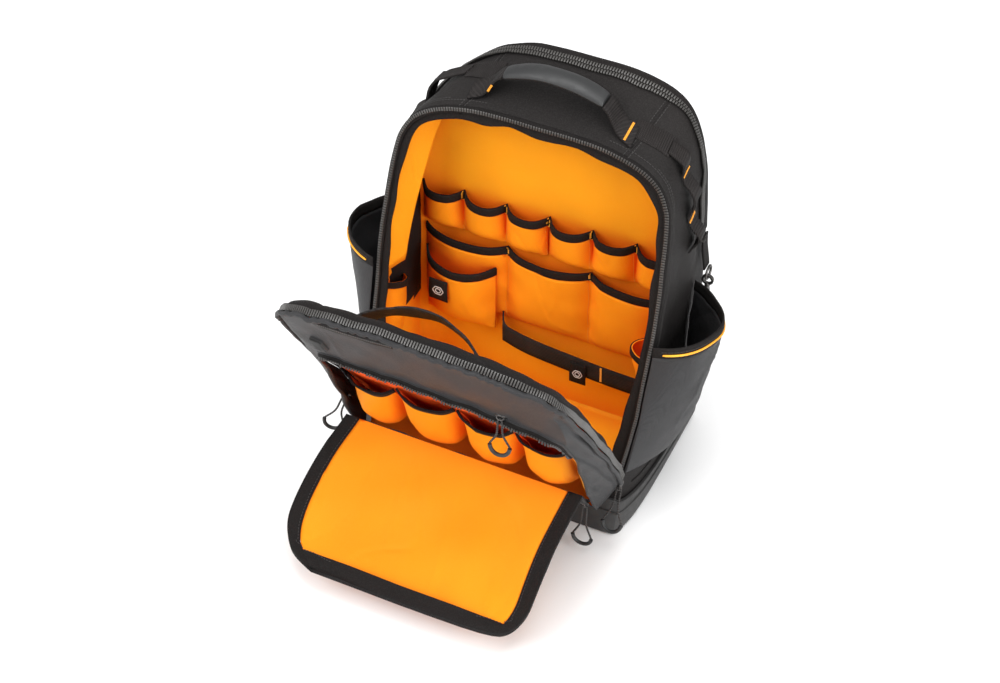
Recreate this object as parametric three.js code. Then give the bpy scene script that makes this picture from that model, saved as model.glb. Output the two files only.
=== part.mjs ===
// A tool backpack standing upright with its front door and its front flap open.
// Units are millimetres, +Z is up, -Y is the front of the bag and +X its right as seen from the
// front. The origin is the middle of the underside of the base.
import * as THREE from 'three';

// Clearances and cloth thicknesses
const GAP = 0.4;
const CLOTH = 2.5;
const LINING = 1.2;
const BINDING = 2.6;
const BINDING_HEIGHT = 10;
const WEBBING = 2;

// The bag's body
const HALF_WIDTH = 165;
const FRONT_HEIGHT = 439;
const REAR_HEIGHT = 474;
const FRONT_FOOT_Y = -81.5;
const LEAN = 0.277;
const BACK_Y = 130;
const SIDE_SWELL = 3;
const SLUMP = 24;
const BASE_ROUND = 9;
const FACING_WIDTH = 17;
const FRAME_THICKNESS = 2.5;

// The moulded base
const BOOT_WALL = 2.8;
const BOOT_FRONT_HEIGHT = 46;
const BOOT_REAR_HEIGHT = 22;

// The main compartment
const LINING_BACK_Y = 85;

// Zips
const CHAIN_WIDTH = 6;
const CHAIN_THICKNESS = 2;
const REAR_ZIP_WIDTH = 14;

// The door, a tray that turns down about the bottom of the front opening
const HINGE_Z = 78;
const DOOR_ANGLE = THREE.MathUtils.degToRad(32.5);
const DOOR_BOARD = 3;
const DOOR_PAD = 12;
const DOOR_PAD_BEVEL = 27;
const DOOR_PAD_REACH = 206;
const DOOR_WARP = 4;
const LIP_SHIFT = 7;
const DOOR_TAPE = 8.5;
const TRAY_DEPTH = 44;
const LIP_REACH = 257;
const LIP_SKEW = -4;
const TRAY_WALL = 2;

// The front flap, folded down from the tray
const FLAP_HINGE_REACH = 66;
const FLAP_LENGTH = 171;
const FLAP_DROP = 76;
const FLAP_HALF_WIDTH = 145;
const FLAP_SKEW = 9;
const FLAP_END_HALF_WIDTH = 103;
const FLAP_CORNER = 45;
const FLAP_THICKNESS = 4;
const FLAP_CURL = 14;
const FLAP_BORDER = 17;

// The webbing loop inside the door, as far up the door as reach says
const DOOR_LOOP = { reach: 330, from: -80, to: 74, end: 14, standOff: 38, width: 25 };

// The carrying parts
const HANDLE_SHIFT = 7;
const HANDLE_HALF_SPAN = 78;
const GRIP_HALF_LENGTH = 56;
const GRIP_WIDTH = 26;
const GRIP_HEIGHT = 14;
const HANDLE_Y = 68;
const HANDLE_RISE = 35;
const GRIP_ARCH = 14;
const HANDLE_WEBBING_WIDTH = 25;
const SIDE_WEBBING_WIDTH = 22;
const SIDE_WEBBING_STAND_OFF = 9;
const BACK_PAD_THICKNESS = 14;
const STRAP_WIDTH = 68;
const STRAP_THICKNESS = 12;
const LOWER_WEBBING_WIDTH = 25;

// Pull cords
const CORD_DIAMETER = 2.2;
const PULL_GRIP_RADIUS = 11;
const PULL_GRIP_TUBE = 2.4;

const MATERIALS = {
  fabric: { color: 0x35312f, roughness: 0.85 },
  boot: { color: 0x2b2928, roughness: 0.6 },
  tape: { color: 0x1f1c1b, roughness: 0.9 },
  chain: { color: 0x3a3837, roughness: 0.5 },
  lining: { color: 0xf59a25, roughness: 0.75 },
  deepLining: { color: 0xe2451a, roughness: 0.75 },
  rubber: { color: 0x3b3a3a, roughness: 0.55 },
  webbing: { color: 0x171514, roughness: 0.9 },
  mesh: { color: 0x262423, roughness: 0.95 },
  cord: { color: 0x2a2726, roughness: 0.7 },
  metal: { color: 0x55524f, roughness: 0.35, metalness: 0.9 },
};

const vec = (x, y, z) => new THREE.Vector3(x, y, z);
const { lerp, clamp, smoothstep } = THREE.MathUtils;
const steps = (count) => Array.from({ length: count + 1 }, (_, i) => i / count);

const backpack = new THREE.Group();

// Names a closed geometry and gives it its finish
function add(name, finish, geometry) {
  const { color, roughness, metalness = 0 } = MATERIALS[finish];
  const mesh = new THREE.Mesh(geometry, new THREE.MeshStandardMaterial({ color, roughness, metalness }));
  mesh.name = name;
  backpack.add(mesh);
}

// Turns triangles of points into a geometry whose faces point out
function closedGeometry(points, triangles) {
  let volume = 0;
  for (const [a, b, c] of triangles) {
    volume += points[a].dot(vec().crossVectors(points[b], points[c]));
  }
  const index = triangles.flatMap(([a, b, c]) => (volume > 0 ? [a, b, c] : [a, c, b]));
  const geometry = new THREE.BufferGeometry();
  const numbers = points.flatMap((p) => [p.x, p.y, p.z]);
  geometry.setAttribute('position', new THREE.Float32BufferAttribute(numbers, 3));
  geometry.setIndex(index);
  return geometry;
}

// A mesh under construction: points and the triangles that join them
class Builder {
  constructor() {
    this.points = [];
    this.triangles = [];
  }

  grid(rows) {
    return rows.map((row) => row.map((p) => this.points.push(p) - 1));
  }

  triangle(a, b, c) {
    if (a !== b && b !== c && c !== a) this.triangles.push([a, b, c]);
  }

  quad(a, b, c, d) {
    this.triangle(a, b, c);
    this.triangle(a, c, d);
  }

  surface(ids, ring, flip) {
    for (let j = 0; j + 1 < ids.length; j++) {
      const count = ids[j].length;
      for (let i = 0; i < (ring ? count : count - 1); i++) {
        const k = (i + 1) % count;
        const [a, b, c, d] = [ids[j][i], ids[j][k], ids[j + 1][k], ids[j + 1][i]];
        this.quad(...(flip ? [a, d, c, b] : [a, b, c, d]));
      }
    }
  }

  // Fills a ring that is symmetrical from its first point to its middle one
  cap(ids, flip) {
    const count = ids.length;
    for (let i = 0; i < count / 2; i++) {
      const corners = [ids[i], ids[i + 1], ids[count - i - 1], ids[(count - i) % count]];
      this.quad(...(flip ? corners.reverse() : corners));
    }
  }

  geometry() {
    return closedGeometry(this.points, this.triangles);
  }
}

// A wall between two grids of points; a ring joins its last column to its first
function wall(front, back, ring = false) {
  const b = new Builder();
  const f = b.grid(front);
  const r = b.grid(back);
  b.surface(f, ring, false);
  b.surface(r, ring, true);
  const last = f.length - 1;
  const count = f[0].length;
  for (let i = 0; i < (ring ? count : count - 1); i++) {
    const k = (i + 1) % count;
    b.quad(f[0][k], f[0][i], r[0][i], r[0][k]);
    b.quad(f[last][i], f[last][k], r[last][k], r[last][i]);
  }
  if (!ring) {
    const end = count - 1;
    for (let j = 0; j < last; j++) {
      b.quad(f[j][0], f[j + 1][0], r[j + 1][0], r[j][0]);
      b.quad(f[j + 1][end], f[j][end], r[j][end], r[j + 1][end]);
    }
  }
  return b.geometry();
}

// A tub whose rings run from its open rim to its closed end
function tub(outer, inner) {
  const b = new Builder();
  const o = b.grid(outer);
  const n = b.grid(inner);
  b.surface(o, true, false);
  b.surface(n, true, true);
  const count = o[0].length;
  for (let i = 0; i < count; i++) {
    const k = (i + 1) % count;
    b.quad(o[0][k], o[0][i], n[0][i], n[0][k]);
  }
  b.cap(o[o.length - 1], false);
  b.cap(n[n.length - 1], true);
  return b.geometry();
}

// A solid whose rings run from one closed end to the other
function loft(rings) {
  const b = new Builder();
  const r = b.grid(rings);
  b.surface(r, true, false);
  b.cap(r[r.length - 1], false);
  b.cap(r[0], true);
  return b.geometry();
}

// The direction square to a grid of points at one of them
function normalAt(grid, j, i) {
  const rows = grid.length - 1;
  const cols = grid[0].length - 1;
  const along = vec().subVectors(grid[j][Math.min(i + 1, cols)], grid[j][Math.max(i - 1, 0)]);
  const down = vec().subVectors(grid[Math.min(j + 1, rows)][i], grid[Math.max(j - 1, 0)][i]);
  return along.cross(down).normalize();
}

// A sheet of cloth whose middle lies on a grid of points
function sheet(grid, thickness) {
  const offset = (side) => grid.map((row, j) => row.map((p, i) => p.clone().addScaledVector(
    normalAt(grid, j, i), side * thickness / 2)));
  return wall(offset(1), offset(-1));
}

// A flat strap: its middle line, the direction across it at each point, its width and thickness
function strap(path, across, width, thickness) {
  const grid = path.map((p, i) => {
    const direction = (Array.isArray(across) ? across[i] : across).clone().normalize();
    return [-1, 1].map((side) => p.clone().addScaledVector(direction, side * width / 2));
  });
  return sheet(grid, thickness);
}

// A round or oval bar along a curve
function bar(points, radius, sides, segments, closed = false) {
  const section = new THREE.Shape(steps(sides).slice(0, -1).map((t) => new THREE.Vector2(
    radius * Math.cos(2 * Math.PI * t), radius * Math.sin(2 * Math.PI * t))));
  const extrudePath = new THREE.CatmullRomCurve3(points, closed);
  return new THREE.ExtrudeGeometry(section, { steps: segments, extrudePath, bevelEnabled: false });
}

// The body's outline: half widths as shares of HALF_WIDTH at shares of the height
const OUTLINE = [
  { height: 0, front: 0.93, rear: 1.018 },
  { height: 0.18, front: 0.945, rear: 1.01 },
  { height: 0.31, front: 0.985, rear: 1 },
  { height: 0.47, front: 0.995, rear: 0.992 },
  { height: 0.63, front: 1, rear: 0.985 },
  { height: 0.76, front: 0.976, rear: 0.97 },
  { height: 0.85, front: 0.958, rear: 0.87 },
  { height: 0.895, front: 0.93, rear: 0.79 },
  { height: 0.94, front: 0.855, rear: 0.69 },
  { height: 0.972, front: 0.715, rear: 0.58 },
  { height: 0.993, front: 0.515, rear: 0.4 },
  { height: 1, front: 0.29, rear: 0.22 },
];

const SHELL_Z = BOOT_WALL + GAP;
const REAR_ZIP_SHARE = 0.78;

function tableValue(column, height) {
  const next = OUTLINE.findIndex((row) => row.height >= height);
  if (next <= 0) return OUTLINE[0][column];
  const [low, high] = [OUTLINE[next - 1], OUTLINE[next]];
  return lerp(low[column], high[column], (height - low.height) / (high.height - low.height));
}

// The body's half width at a share of its height and a share of its depth
function halfWidth(height, depth) {
  const early = 1 - (1 - depth) ** lerp(10, 1, smoothstep(height, 0.1, 0.4));
  const width = lerp(tableValue('front', height), tableValue('rear', height), early) * HALF_WIDTH;
  return width + SIDE_SWELL * Math.sin(Math.PI * depth) * Math.sin(Math.PI * clamp(height, 0, 1));
}

// The soft top leans to one side towards the back
const slump = (height, depth) => SLUMP * depth * smoothstep(height, 0.77, 0.97);

function topHeight(depth) {
  const [before, after] = [depth / REAR_ZIP_SHARE, (depth - REAR_ZIP_SHARE) / (1 - REAR_ZIP_SHARE)];
  return lerp(FRONT_HEIGHT, REAR_HEIGHT, after < 0 ? 0.85 * before : lerp(0.85, 1, after));
}

const frontY = (z) => FRONT_FOOT_Y + LEAN * z;
const SHELL_FRONT = FRAME_THICKNESS + GAP;

function bodyPoint(side, height, depth) {
  const z = SHELL_Z + height * (topHeight(depth) - SHELL_Z);
  const x = side * halfWidth(height, depth) + slump(height, depth);
  return vec(x, lerp(frontY(z) + SHELL_FRONT, BACK_Y, depth), z);
}

// The share of the body's depth at which a height meets the plane y = planeY
function depthAt(height, planeY) {
  let depth = 0.5;
  for (let pass = 0; pass < 6; pass++) {
    const front = frontY(SHELL_Z + height * (topHeight(depth) - SHELL_Z)) + SHELL_FRONT;
    depth = (planeY - front) / (BACK_Y - front);
  }
  return Math.min(depth, 1);
}

// A closed ring round the body from the middle of the base round the right side to the middle of
// the top and back; it lies at a share of the depth, or in the plane y = planeY if one is given,
// and outward is how far it stands off the cloth
function bodyRing(share, outward = 0, planeY = null) {
  const depthOf = (height) => (planeY === null ? share : depthAt(height, planeY));
  const foot = halfWidth(0, depthOf(0));
  const right = [
    [0, 0],
    [0.5 * foot, 0],
    [foot - BASE_ROUND, 0],
    [foot - 0.3 * BASE_ROUND, 0.3 * BASE_ROUND],
  ].map(([x, z]) => ({ x, z: SHELL_Z + z, height: 0 }));
  for (const { height } of OUTLINE) {
    const depth = depthOf(height);
    const z = SHELL_Z + height * (topHeight(depth) - SHELL_Z);
    right.push({ x: halfWidth(height, depth), z: Math.max(z, SHELL_Z + BASE_ROUND), height });
  }
  right.push({ x: 0, z: topHeight(depthOf(1)), height: 1 });
  const left = right.slice(1, -1).reverse().map((p) => ({ ...p, x: -p.x }));
  const ring = [...right, ...left].map(({ x, z, height }) => {
    const depth = depthOf(height);
    return { p: vec(x + slump(height, depth), 0, z), depth };
  });
  return ring.map(({ p, depth }, i) => {
    const before = ring[(i + ring.length - 1) % ring.length].p;
    const after = ring[(i + 1) % ring.length].p;
    const square = vec(after.z - before.z, 0, before.x - after.x).normalize();
    const q = p.clone().addScaledVector(square, outward);
    q.y = planeY ?? lerp(frontY(q.z) + SHELL_FRONT, BACK_Y, depth);
    return q;
  });
}

const REAR_ZIP_END = REAR_ZIP_SHARE
  + REAR_ZIP_WIDTH / (BACK_Y - frontY(FRONT_HEIGHT) - SHELL_FRONT);
const BODY_STATIONS = [0, 0.06, 0.2, 0.45, 0.62, REAR_ZIP_SHARE, REAR_ZIP_END, 1];

function bodyShell() {
  const outer = BODY_STATIONS.map((depth) => bodyRing(depth));
  const inner = BODY_STATIONS.slice(0, -1).map((depth) => bodyRing(depth, -CLOTH));
  inner.push(bodyRing(1, -CLOTH, BACK_Y - CLOTH));
  add('body_shell', 'fabric', tub(outer, inner));
}

// The orange lining stops short of the back, where the rear compartment lies behind it
function lining() {
  const inset = CLOTH + 2 * GAP;
  const stations = BODY_STATIONS.slice(0, 4);
  const outer = stations.map((depth) => bodyRing(depth, -inset));
  const inner = stations.map((depth) => bodyRing(depth, -inset - LINING));
  outer.push(bodyRing(1, -inset, LINING_BACK_Y + LINING));
  inner.push(bodyRing(1, -inset - LINING, LINING_BACK_Y));
  add('lining', 'lining', tub(outer, inner));
}

const PLANE = Math.hypot(1, LEAN);
const frontPoint = (x, z, out) => vec(x, frontY(z) - out / PLANE, z + out * LEAN / PLANE);

const FRAME_RING = bodyRing(0);
const SILL_Z = HINGE_Z + 1;

function facingInner(p) {
  const height = (p.z - SHELL_Z) / (FRONT_HEIGHT - SHELL_Z);
  return vec(p.x * (1 - FACING_WIDTH / HALF_WIDTH), 0, lerp(SILL_Z, FRONT_HEIGHT - FACING_WIDTH, height));
}

// The black facing round the front opening and the sill under it, one plate with a hole
function frontFrame() {
  const rows = (out) => [
    FRAME_RING.map((p) => frontPoint(p.x, Math.max(p.z, SHELL_Z + 1), out)),
    FRAME_RING.map(facingInner).map((p) => frontPoint(p.x, p.z, out)),
  ];
  add('front_frame', 'tape', wall(rows(0), rows(-FRAME_THICKNESS), true));
}

// The part of the front outline above the hinge, from the left side over the top to the right
function archRows() {
  const right = OUTLINE.filter(({ height }) => height > 0).map(({ height }) => bodyPoint(1, height, 0));
  const foot = bodyPoint(1, (SILL_Z - SHELL_Z) / (FRONT_HEIGHT - SHELL_Z), 0);
  const side = [foot, ...right.filter((p) => p.z > SILL_Z + 5)];
  return [...side.map((p) => vec(-p.x, 0, p.z)), vec(0, 0, FRONT_HEIGHT), ...side.slice().reverse()];
}

// Moves each point of an open line square to it in the XZ plane; positive is away from the middle
function spread(line, amount) {
  return line.map((p, i) => {
    const before = line[Math.max(i - 1, 0)];
    const after = line[Math.min(i + 1, line.length - 1)];
    return p.clone().addScaledVector(vec(before.z - after.z, 0, after.x - before.x).normalize(), amount);
  });
}

const ARCH = archRows();

function frontZip() {
  const edges = [spread(ARCH, -0.5), spread(ARCH, -0.5 - CHAIN_WIDTH)];
  const layer = (out) => edges.map((edge) => edge.map((p) => frontPoint(p.x, p.z, out)));
  add('front_zip', 'chain', wall(layer(GAP + CHAIN_THICKNESS), layer(GAP)));
}

// The zip of the rear compartment, over the top and down both sides
function rearZip() {
  const first = 4 + OUTLINE.findIndex(({ height }) => height >= 0.63);
  const layer = (outward) => [REAR_ZIP_SHARE, REAR_ZIP_END].map((share) => {
    const ring = bodyRing(share, outward);
    return ring.slice(first, ring.length - first + 1);
  });
  add('rear_zip', 'chain', wall(layer(GAP + BINDING), layer(GAP)));
}

// The boot: plan rings from its rim down to the flat underside
function bootRing(level, inset, { rim = false, sideInset = inset } = {}) {
  const outward = BOOT_WALL + GAP - inset;
  const depths = [1, 0.8, 0.5, 0.2, 0.06, 0.02, 0];
  const right = depths.map((depth) => {
    const z = rim ? lerp(BOOT_FRONT_HEIGHT, BOOT_REAR_HEIGHT, depth) : level;
    const height = (z - SHELL_Z) / (topHeight(depth) - SHELL_Z);
    const x = halfWidth(Math.max(height, 0), depth) + BOOT_WALL + GAP - sideInset;
    const front = frontY(z) - GAP - BOOT_WALL + inset;
    return vec(x, lerp(front, BACK_Y + outward, depth), z);
  });
  const z0 = rim ? BOOT_REAR_HEIGHT : level;
  const z1 = rim ? BOOT_FRONT_HEIGHT : level;
  const back = vec(0, BACK_Y + outward, z0);
  const front = vec(0, right[right.length - 1].y, z1);
  return [back, ...right, front, ...right.slice().reverse().map((p) => vec(-p.x, p.y, p.z))];
}

function baseBoot() {
  const outer = [
    bootRing(0, 0, { rim: true }),
    bootRing(14, 0),
    bootRing(5, 0, { sideInset: 0.6 }),
    bootRing(1.4, 1, { sideInset: 2.6 }),
    bootRing(0, 3, { sideInset: 7 }),
  ];
  const inner = [
    bootRing(0, BOOT_WALL, { rim: true }),
    bootRing(14, BOOT_WALL),
    bootRing(BOOT_WALL + 2.4, BOOT_WALL),
    bootRing(BOOT_WALL, BOOT_WALL, { sideInset: BOOT_WALL + 3 }),
  ];
  add('base_boot', 'boot', tub(outer, inner));
}

// The padded back panel, crowned away from the body
function backPanel() {
  const low = BOOT_REAR_HEIGHT + 6;
  const high = REAR_HEIGHT - 8;
  const middle = (low + high) / 2;
  const ring = (share, scale) => bodyRing(1).map((p) => {
    const z = lerp(low, high, (p.z - SHELL_Z) / (REAR_HEIGHT - SHELL_Z));
    return vec(p.x * scale, BACK_Y + GAP + share * BACK_PAD_THICKNESS, lerp(middle, z, scale));
  });
  add('back_panel', 'mesh', loft([ring(0, 0.95), ring(0.45, 0.96), ring(0.85, 0.93), ring(1, 0.86)]));
}

// Shoulder straps hang against the back panel; webbing goes on from each to the base
const STRAP_ROUTE = [
  { x: 46, out: 0, z: 428 },
  { x: 47, out: 6, z: 410 },
  { x: 52, out: 12, z: 372 },
  { x: 60, out: 16, z: 318 },
  { x: 70, out: 15, z: 255 },
  { x: 80, out: 10, z: 200 },
  { x: 84, out: 7, z: 172 },
];
const LOWER_ROUTE = [
  { x: 85, out: 12, z: 170.8 },
  { x: 94, out: 13, z: 140 },
  { x: 110, out: 10, z: 100 },
  { x: 124, out: 3, z: 74 },
  { x: 130, out: 0, z: 62 },
];

function shoulderStraps() {
  const padFace = BACK_Y + GAP + BACK_PAD_THICKNESS;
  for (const [label, side] of [['left', -1], ['right', 1]]) {
    const route = (rows, thickness) => rows.map(({ x, out, z }) => vec(
      side * x, padFace + GAP + thickness / 2 + out, z));
    const level = vec(1, 0, 0);
    add(`shoulder_strap_${label}`, 'mesh',
      strap(route(STRAP_ROUTE, STRAP_THICKNESS), level, STRAP_WIDTH, STRAP_THICKNESS));
    const across = LOWER_ROUTE.map((row, i) => (i === 0 ? level : vec(1, 0, side * 0.4)));
    add(`strap_webbing_${label}`, 'webbing',
      strap(route(LOWER_ROUTE, WEBBING), across, LOWER_WEBBING_WIDTH, WEBBING));
  }
}

function surfaceZ(x, y) {
  const depth = (y - frontY(FRONT_HEIGHT) - SHELL_FRONT) / (BACK_Y - frontY(FRONT_HEIGHT) - SHELL_FRONT);
  const top = topHeight(depth);
  for (const share of steps(200)) {
    const height = 1 - share * 0.3;
    const reach = Math.abs(x - slump(height, depth));
    if (halfWidth(height, depth) >= reach) return SHELL_Z + height * (top - SHELL_Z);
  }
  return top;
}

// The carrying handle: a moulded grip between two webbing ends sewn to the top
function handle() {
  const gripZ = surfaceZ(0, HANDLE_Y) + HANDLE_RISE;
  const section = (share, scale) => steps(12).slice(0, -1).map((t) => vec(
    HANDLE_SHIFT + share * GRIP_HALF_LENGTH,
    HANDLE_Y + scale * GRIP_WIDTH / 2 * Math.sin(2 * Math.PI * t),
    gripZ - GRIP_ARCH * share * share + scale * GRIP_HEIGHT / 2 * Math.cos(2 * Math.PI * t)));
  const stations = [-1, -0.94, -0.5, 0, 0.5, 0.94, 1];
  const scales = [0.8, 0.95, 1, 1, 1, 0.95, 0.8];
  add('handle_grip', 'rubber', loft(stations.map((share, i) => section(share, scales[i]))));
  for (const [label, side, lift] of [['left', -1, 3.3], ['right', 1, 2.6]]) {
    const seat = (x, y, above) => vec(x, y, surfaceZ(x, y) + above);
    const grip = HANDLE_SHIFT + side * GRIP_HALF_LENGTH;
    const foot = HANDLE_SHIFT + side * HANDLE_HALF_SPAN;
    const path = [
      vec(grip + side * 2 * GAP, HANDLE_Y, gripZ - GRIP_ARCH),
      vec(grip + side * 8, HANDLE_Y - 1, gripZ - GRIP_ARCH - 3.5),
      seat(foot - side * 5, HANDLE_Y - 4, 5.5),
      seat(foot + side * 4, HANDLE_Y - 6, lift),
      seat(foot + side * 14, HANDLE_Y - 8, lift),
    ];
    const slope = vec(0, 1, (REAR_HEIGHT - FRONT_HEIGHT) / (BACK_Y - frontY(FRONT_HEIGHT)));
    const level = vec(0, 1, 0);
    add(`handle_webbing_${label}`, 'webbing',
      strap(path, [level, level, slope, slope, slope], HANDLE_WEBBING_WIDTH, WEBBING));
  }
}

// A point on the body's side and the direction square to the cloth there
function sidePoint(side, height, depth, outward) {
  const e = 0.01;
  const p = bodyPoint(side, height, depth);
  const up = bodyPoint(side, height + e, depth).sub(bodyPoint(side, height - e, depth));
  const back = bodyPoint(side, height, depth + e).sub(bodyPoint(side, height, depth - e));
  const out = up.cross(back).normalize();
  if (out.x * side < 0) out.negate();
  return p.addScaledVector(out, outward);
}

// Attachment webbing sewn down each upper side at bars, standing off in loops between them
const SIDE_WEBBING = {
  right: { top: 0.95, foot: 0.68, depthTop: 0.38, depthFoot: 0.5, bars: [0.22, 0.68] },
  left: { top: 0.96, foot: 0.68, depthTop: 0.55, depthFoot: 0.62, bars: [0.44, 0.8] },
};

function sideWebbing() {
  for (const [label, side] of [['left', -1], ['right', 1]]) {
    const { top, foot, depthTop, depthFoot, bars } = SIDE_WEBBING[label];
    const nodes = [0, ...bars, 1];
    const front = [];
    const back = [];
    for (const t of steps(24)) {
      const span = nodes.findIndex((b, i) => i > 0 && t <= b);
      const local = (t - nodes[span - 1]) / (nodes[span] - nodes[span - 1]);
      const off = 0.3 + SIDE_WEBBING_STAND_OFF * Math.sin(Math.PI * local) ** 2;
      const height = lerp(top, foot, t);
      const depth = lerp(depthTop, depthFoot, t);
      const half = SIDE_WEBBING_WIDTH / 2 / 150;
      const row = (outward) => [-half, half].map((d) => sidePoint(side, height, depth + d, outward + off));
      front.push(row(GAP + WEBBING));
      back.push(row(GAP));
    }
    add(`side_webbing_${label}`, 'webbing', wall(front, back));
  }
}

// The side pocket: rim and foot points along the pocket, from its front edge to its back edge;
// y runs from the front edge and out is how far the rim stands off the bag's side
const POCKET_RIM_Z = 245;
const POCKET_REACH = 52;
const POCKET_WALL = 2;
const SIDE_POCKET = [
  { rimY: -24, out: 0.02, footY: -62, footZ: 86 },
  { rimY: -17, out: 0.4, footY: -48, footZ: 79 },
  { rimY: 0, out: 0.78, footY: -22, footZ: 67 },
  { rimY: 22, out: 1, footY: 8, footZ: 52 },
  { rimY: 48, out: 0.96, footY: 38, footZ: 38 },
  { rimY: 72, out: 0.66, footY: 64, footZ: 34 },
  { rimY: 88, out: 0.28, footY: 82, footZ: 33 },
  { rimY: 94, out: 0.02, footY: 92, footZ: 33 },
];

// How far the body's side lies from the middle plane
function sideReach(side, y, z) {
  const front = frontY(z) + SHELL_FRONT;
  const depth = clamp((y - front) / (BACK_Y - front), 0, 1);
  const height = (z - SHELL_Z) / (topHeight(depth) - SHELL_Z);
  return halfWidth(height, depth) + side * slump(height, depth);
}

function pocketPoint(side, row, share, rimZ, outward) {
  const y = lerp(row.rimY, row.footY, share);
  const z = lerp(rimZ, row.footZ, share);
  const bulge = row.out * POCKET_REACH * (1 - share) ** 0.6;
  const base = Math.max(...[-4, 0, 4].map((shift) => sideReach(side, y, z + shift)));
  return vec(side * (base + 1.5 + bulge + outward), y, z);
}

function sidePockets() {
  for (const [label, side] of [['left', -1], ['right', 1]]) {
    const shares = [0, 0.2, 0.4, 0.6, 0.8, 0.93, 1];
    const top = POCKET_RIM_Z - BINDING_HEIGHT - 4 - GAP;
    const layer = (outward) => shares.map((share) => SIDE_POCKET.map(
      (row) => pocketPoint(side, row, share, top, outward)));
    add(`side_pocket_${label}`, 'fabric', wall(layer(POCKET_WALL / 2), layer(-POCKET_WALL / 2)));
    const rim = (outward) => [POCKET_RIM_Z, top + GAP].map((z) => SIDE_POCKET.map((row) => {
      const p = pocketPoint(side, row, 0, top, outward);
      return vec(p.x, p.y, z);
    }));
    add(`side_pocket_binding_${label}`, 'tape', wall(rim(BINDING / 2), rim(-BINDING / 2)));
  }
}

// Pockets sewn side by side on a wall: u runs along them, v down them and w out from the wall
function pocketRow({ from, to, count, top, foot, depth, base, baseEnd = base, place, perPocket = 6 }) {
  const taper = [
    { down: 0, swell: 1 },
    { down: 0.4, swell: 0.94 },
    { down: 0.75, swell: 0.8 },
    { down: 0.94, swell: 0.45 },
    { down: 1, swell: 0 },
  ];
  const columns = steps(count * perPocket);
  const wave = (u) => Math.abs(Math.sin(Math.PI * count * u)) ** 0.55;
  const low = top - BINDING_HEIGHT - GAP;
  const body = taper.map(({ down, swell }) => columns.map((u) => place(
    lerp(from, to, u), lerp(low, foot, down), lerp(base, baseEnd, u) + depth * swell * wave(u))));
  const band = [top, low + GAP].map((v) => columns.map((u) => place(
    lerp(from, to, u), v, lerp(base, baseEnd, u) + depth * wave(u))));
  return { body: sheet(body, LINING), band: sheet(band, BINDING) };
}

const onBack = (u, v, w) => vec(u, LINING_BACK_Y - w, v);

function interiorPockets() {
  const row = { top: 281, foot: 226, depth: 19, base: 2.2, place: onBack };
  const upper = { from: -156, to: 154, middle: -1 };
  const seam = (LINING + GAP) / 2;
  const left = pocketRow({ ...row, from: upper.from, to: upper.middle - seam, count: 3 });
  const right = pocketRow({ ...row, from: upper.middle + seam, to: upper.to, count: 3 });
  add('pocket_row_upper_left', 'lining', left.body);
  add('pocket_row_upper_right', 'lining', right.body);
  const whole = pocketRow({ ...row, from: upper.from, to: upper.to, count: 6 });
  add('pocket_row_upper_binding', 'tape', whole.band);
  const middle = pocketRow({
    from: -153, to: 154, count: 3, top: 220, foot: 112, depth: 18, base: 2.2, place: onBack, perPocket: 8,
  });
  add('pocket_row_middle', 'lining', middle.body);
  add('pocket_row_middle_binding', 'tape', middle.band);
  const lower = pocketRow({
    from: -148, to: -60, count: 1, top: 193, foot: 100, depth: 31, base: 10.2, baseEnd: 13.2,
    place: onBack, perPocket: 8,
  });
  add('pocket_low', 'lining', lower.body);
  add('pocket_low_binding', 'tape', lower.band);
}

// A small hanging tag under the low pocket's binding
function tags() {
  const tag = (x, y, top, height, width) => strap(
    [vec(x, y, top), vec(x, y - 1.5, top - height / 2), vec(x, y, top - height)],
    vec(1, 0, 0), width, 1.2);
  add('pocket_tag', 'tape', tag(-118, 41.2, 176, 30, 22));
  add('strap_tag', 'tape', tag(52, 53, 104, 30, 20));
}

// The tool strap across the lower part of the back wall
const TOOL_STRAP = [
  { x: -54, y: 79.3, z: 109 },
  { x: -46, y: 62, z: 107 },
  { x: -20, y: 56, z: 104 },
  { x: 20, y: 55, z: 101 },
  { x: 60, y: 55, z: 98 },
  { x: 100, y: 55.5, z: 95 },
  { x: 134, y: 58, z: 92 },
  { x: 155, y: 60, z: 91 },
];

function toolStrap() {
  const path = TOOL_STRAP.map(({ x, y, z }) => vec(x, y, z));
  add('tool_strap', 'webbing', strap(path, vec(0, 0, 1), 25, WEBBING));
}

// Pockets and a loose panel on the side walls inside
const wallReach = (side, y, z) => sideReach(side, y, z) - CLOTH - GAP - LINING - 0.9;

function sideWallPocket(side, { yFrom, yTo, top, topDrop, foot, depth }) {
  const columns = steps(8);
  const rows = [
    { down: 0, swell: 1 },
    { down: 0.09, swell: 1 },
    { down: 0.5, swell: 0.85 },
    { down: 0.85, swell: 0.5 },
    { down: 1, swell: 0 },
  ];
  const grid = rows.map(({ down, swell }) => columns.map((u) => {
    const y = lerp(yFrom, yTo, u);
    const z = lerp(top - topDrop * u, foot, down);
    const inward = 1.2 + depth * swell * Math.sin(Math.PI * u) ** 0.6;
    return vec(side * (wallReach(side, y, z) - inward), y, z);
  }));
  return sheet(grid, LINING);
}

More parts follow.
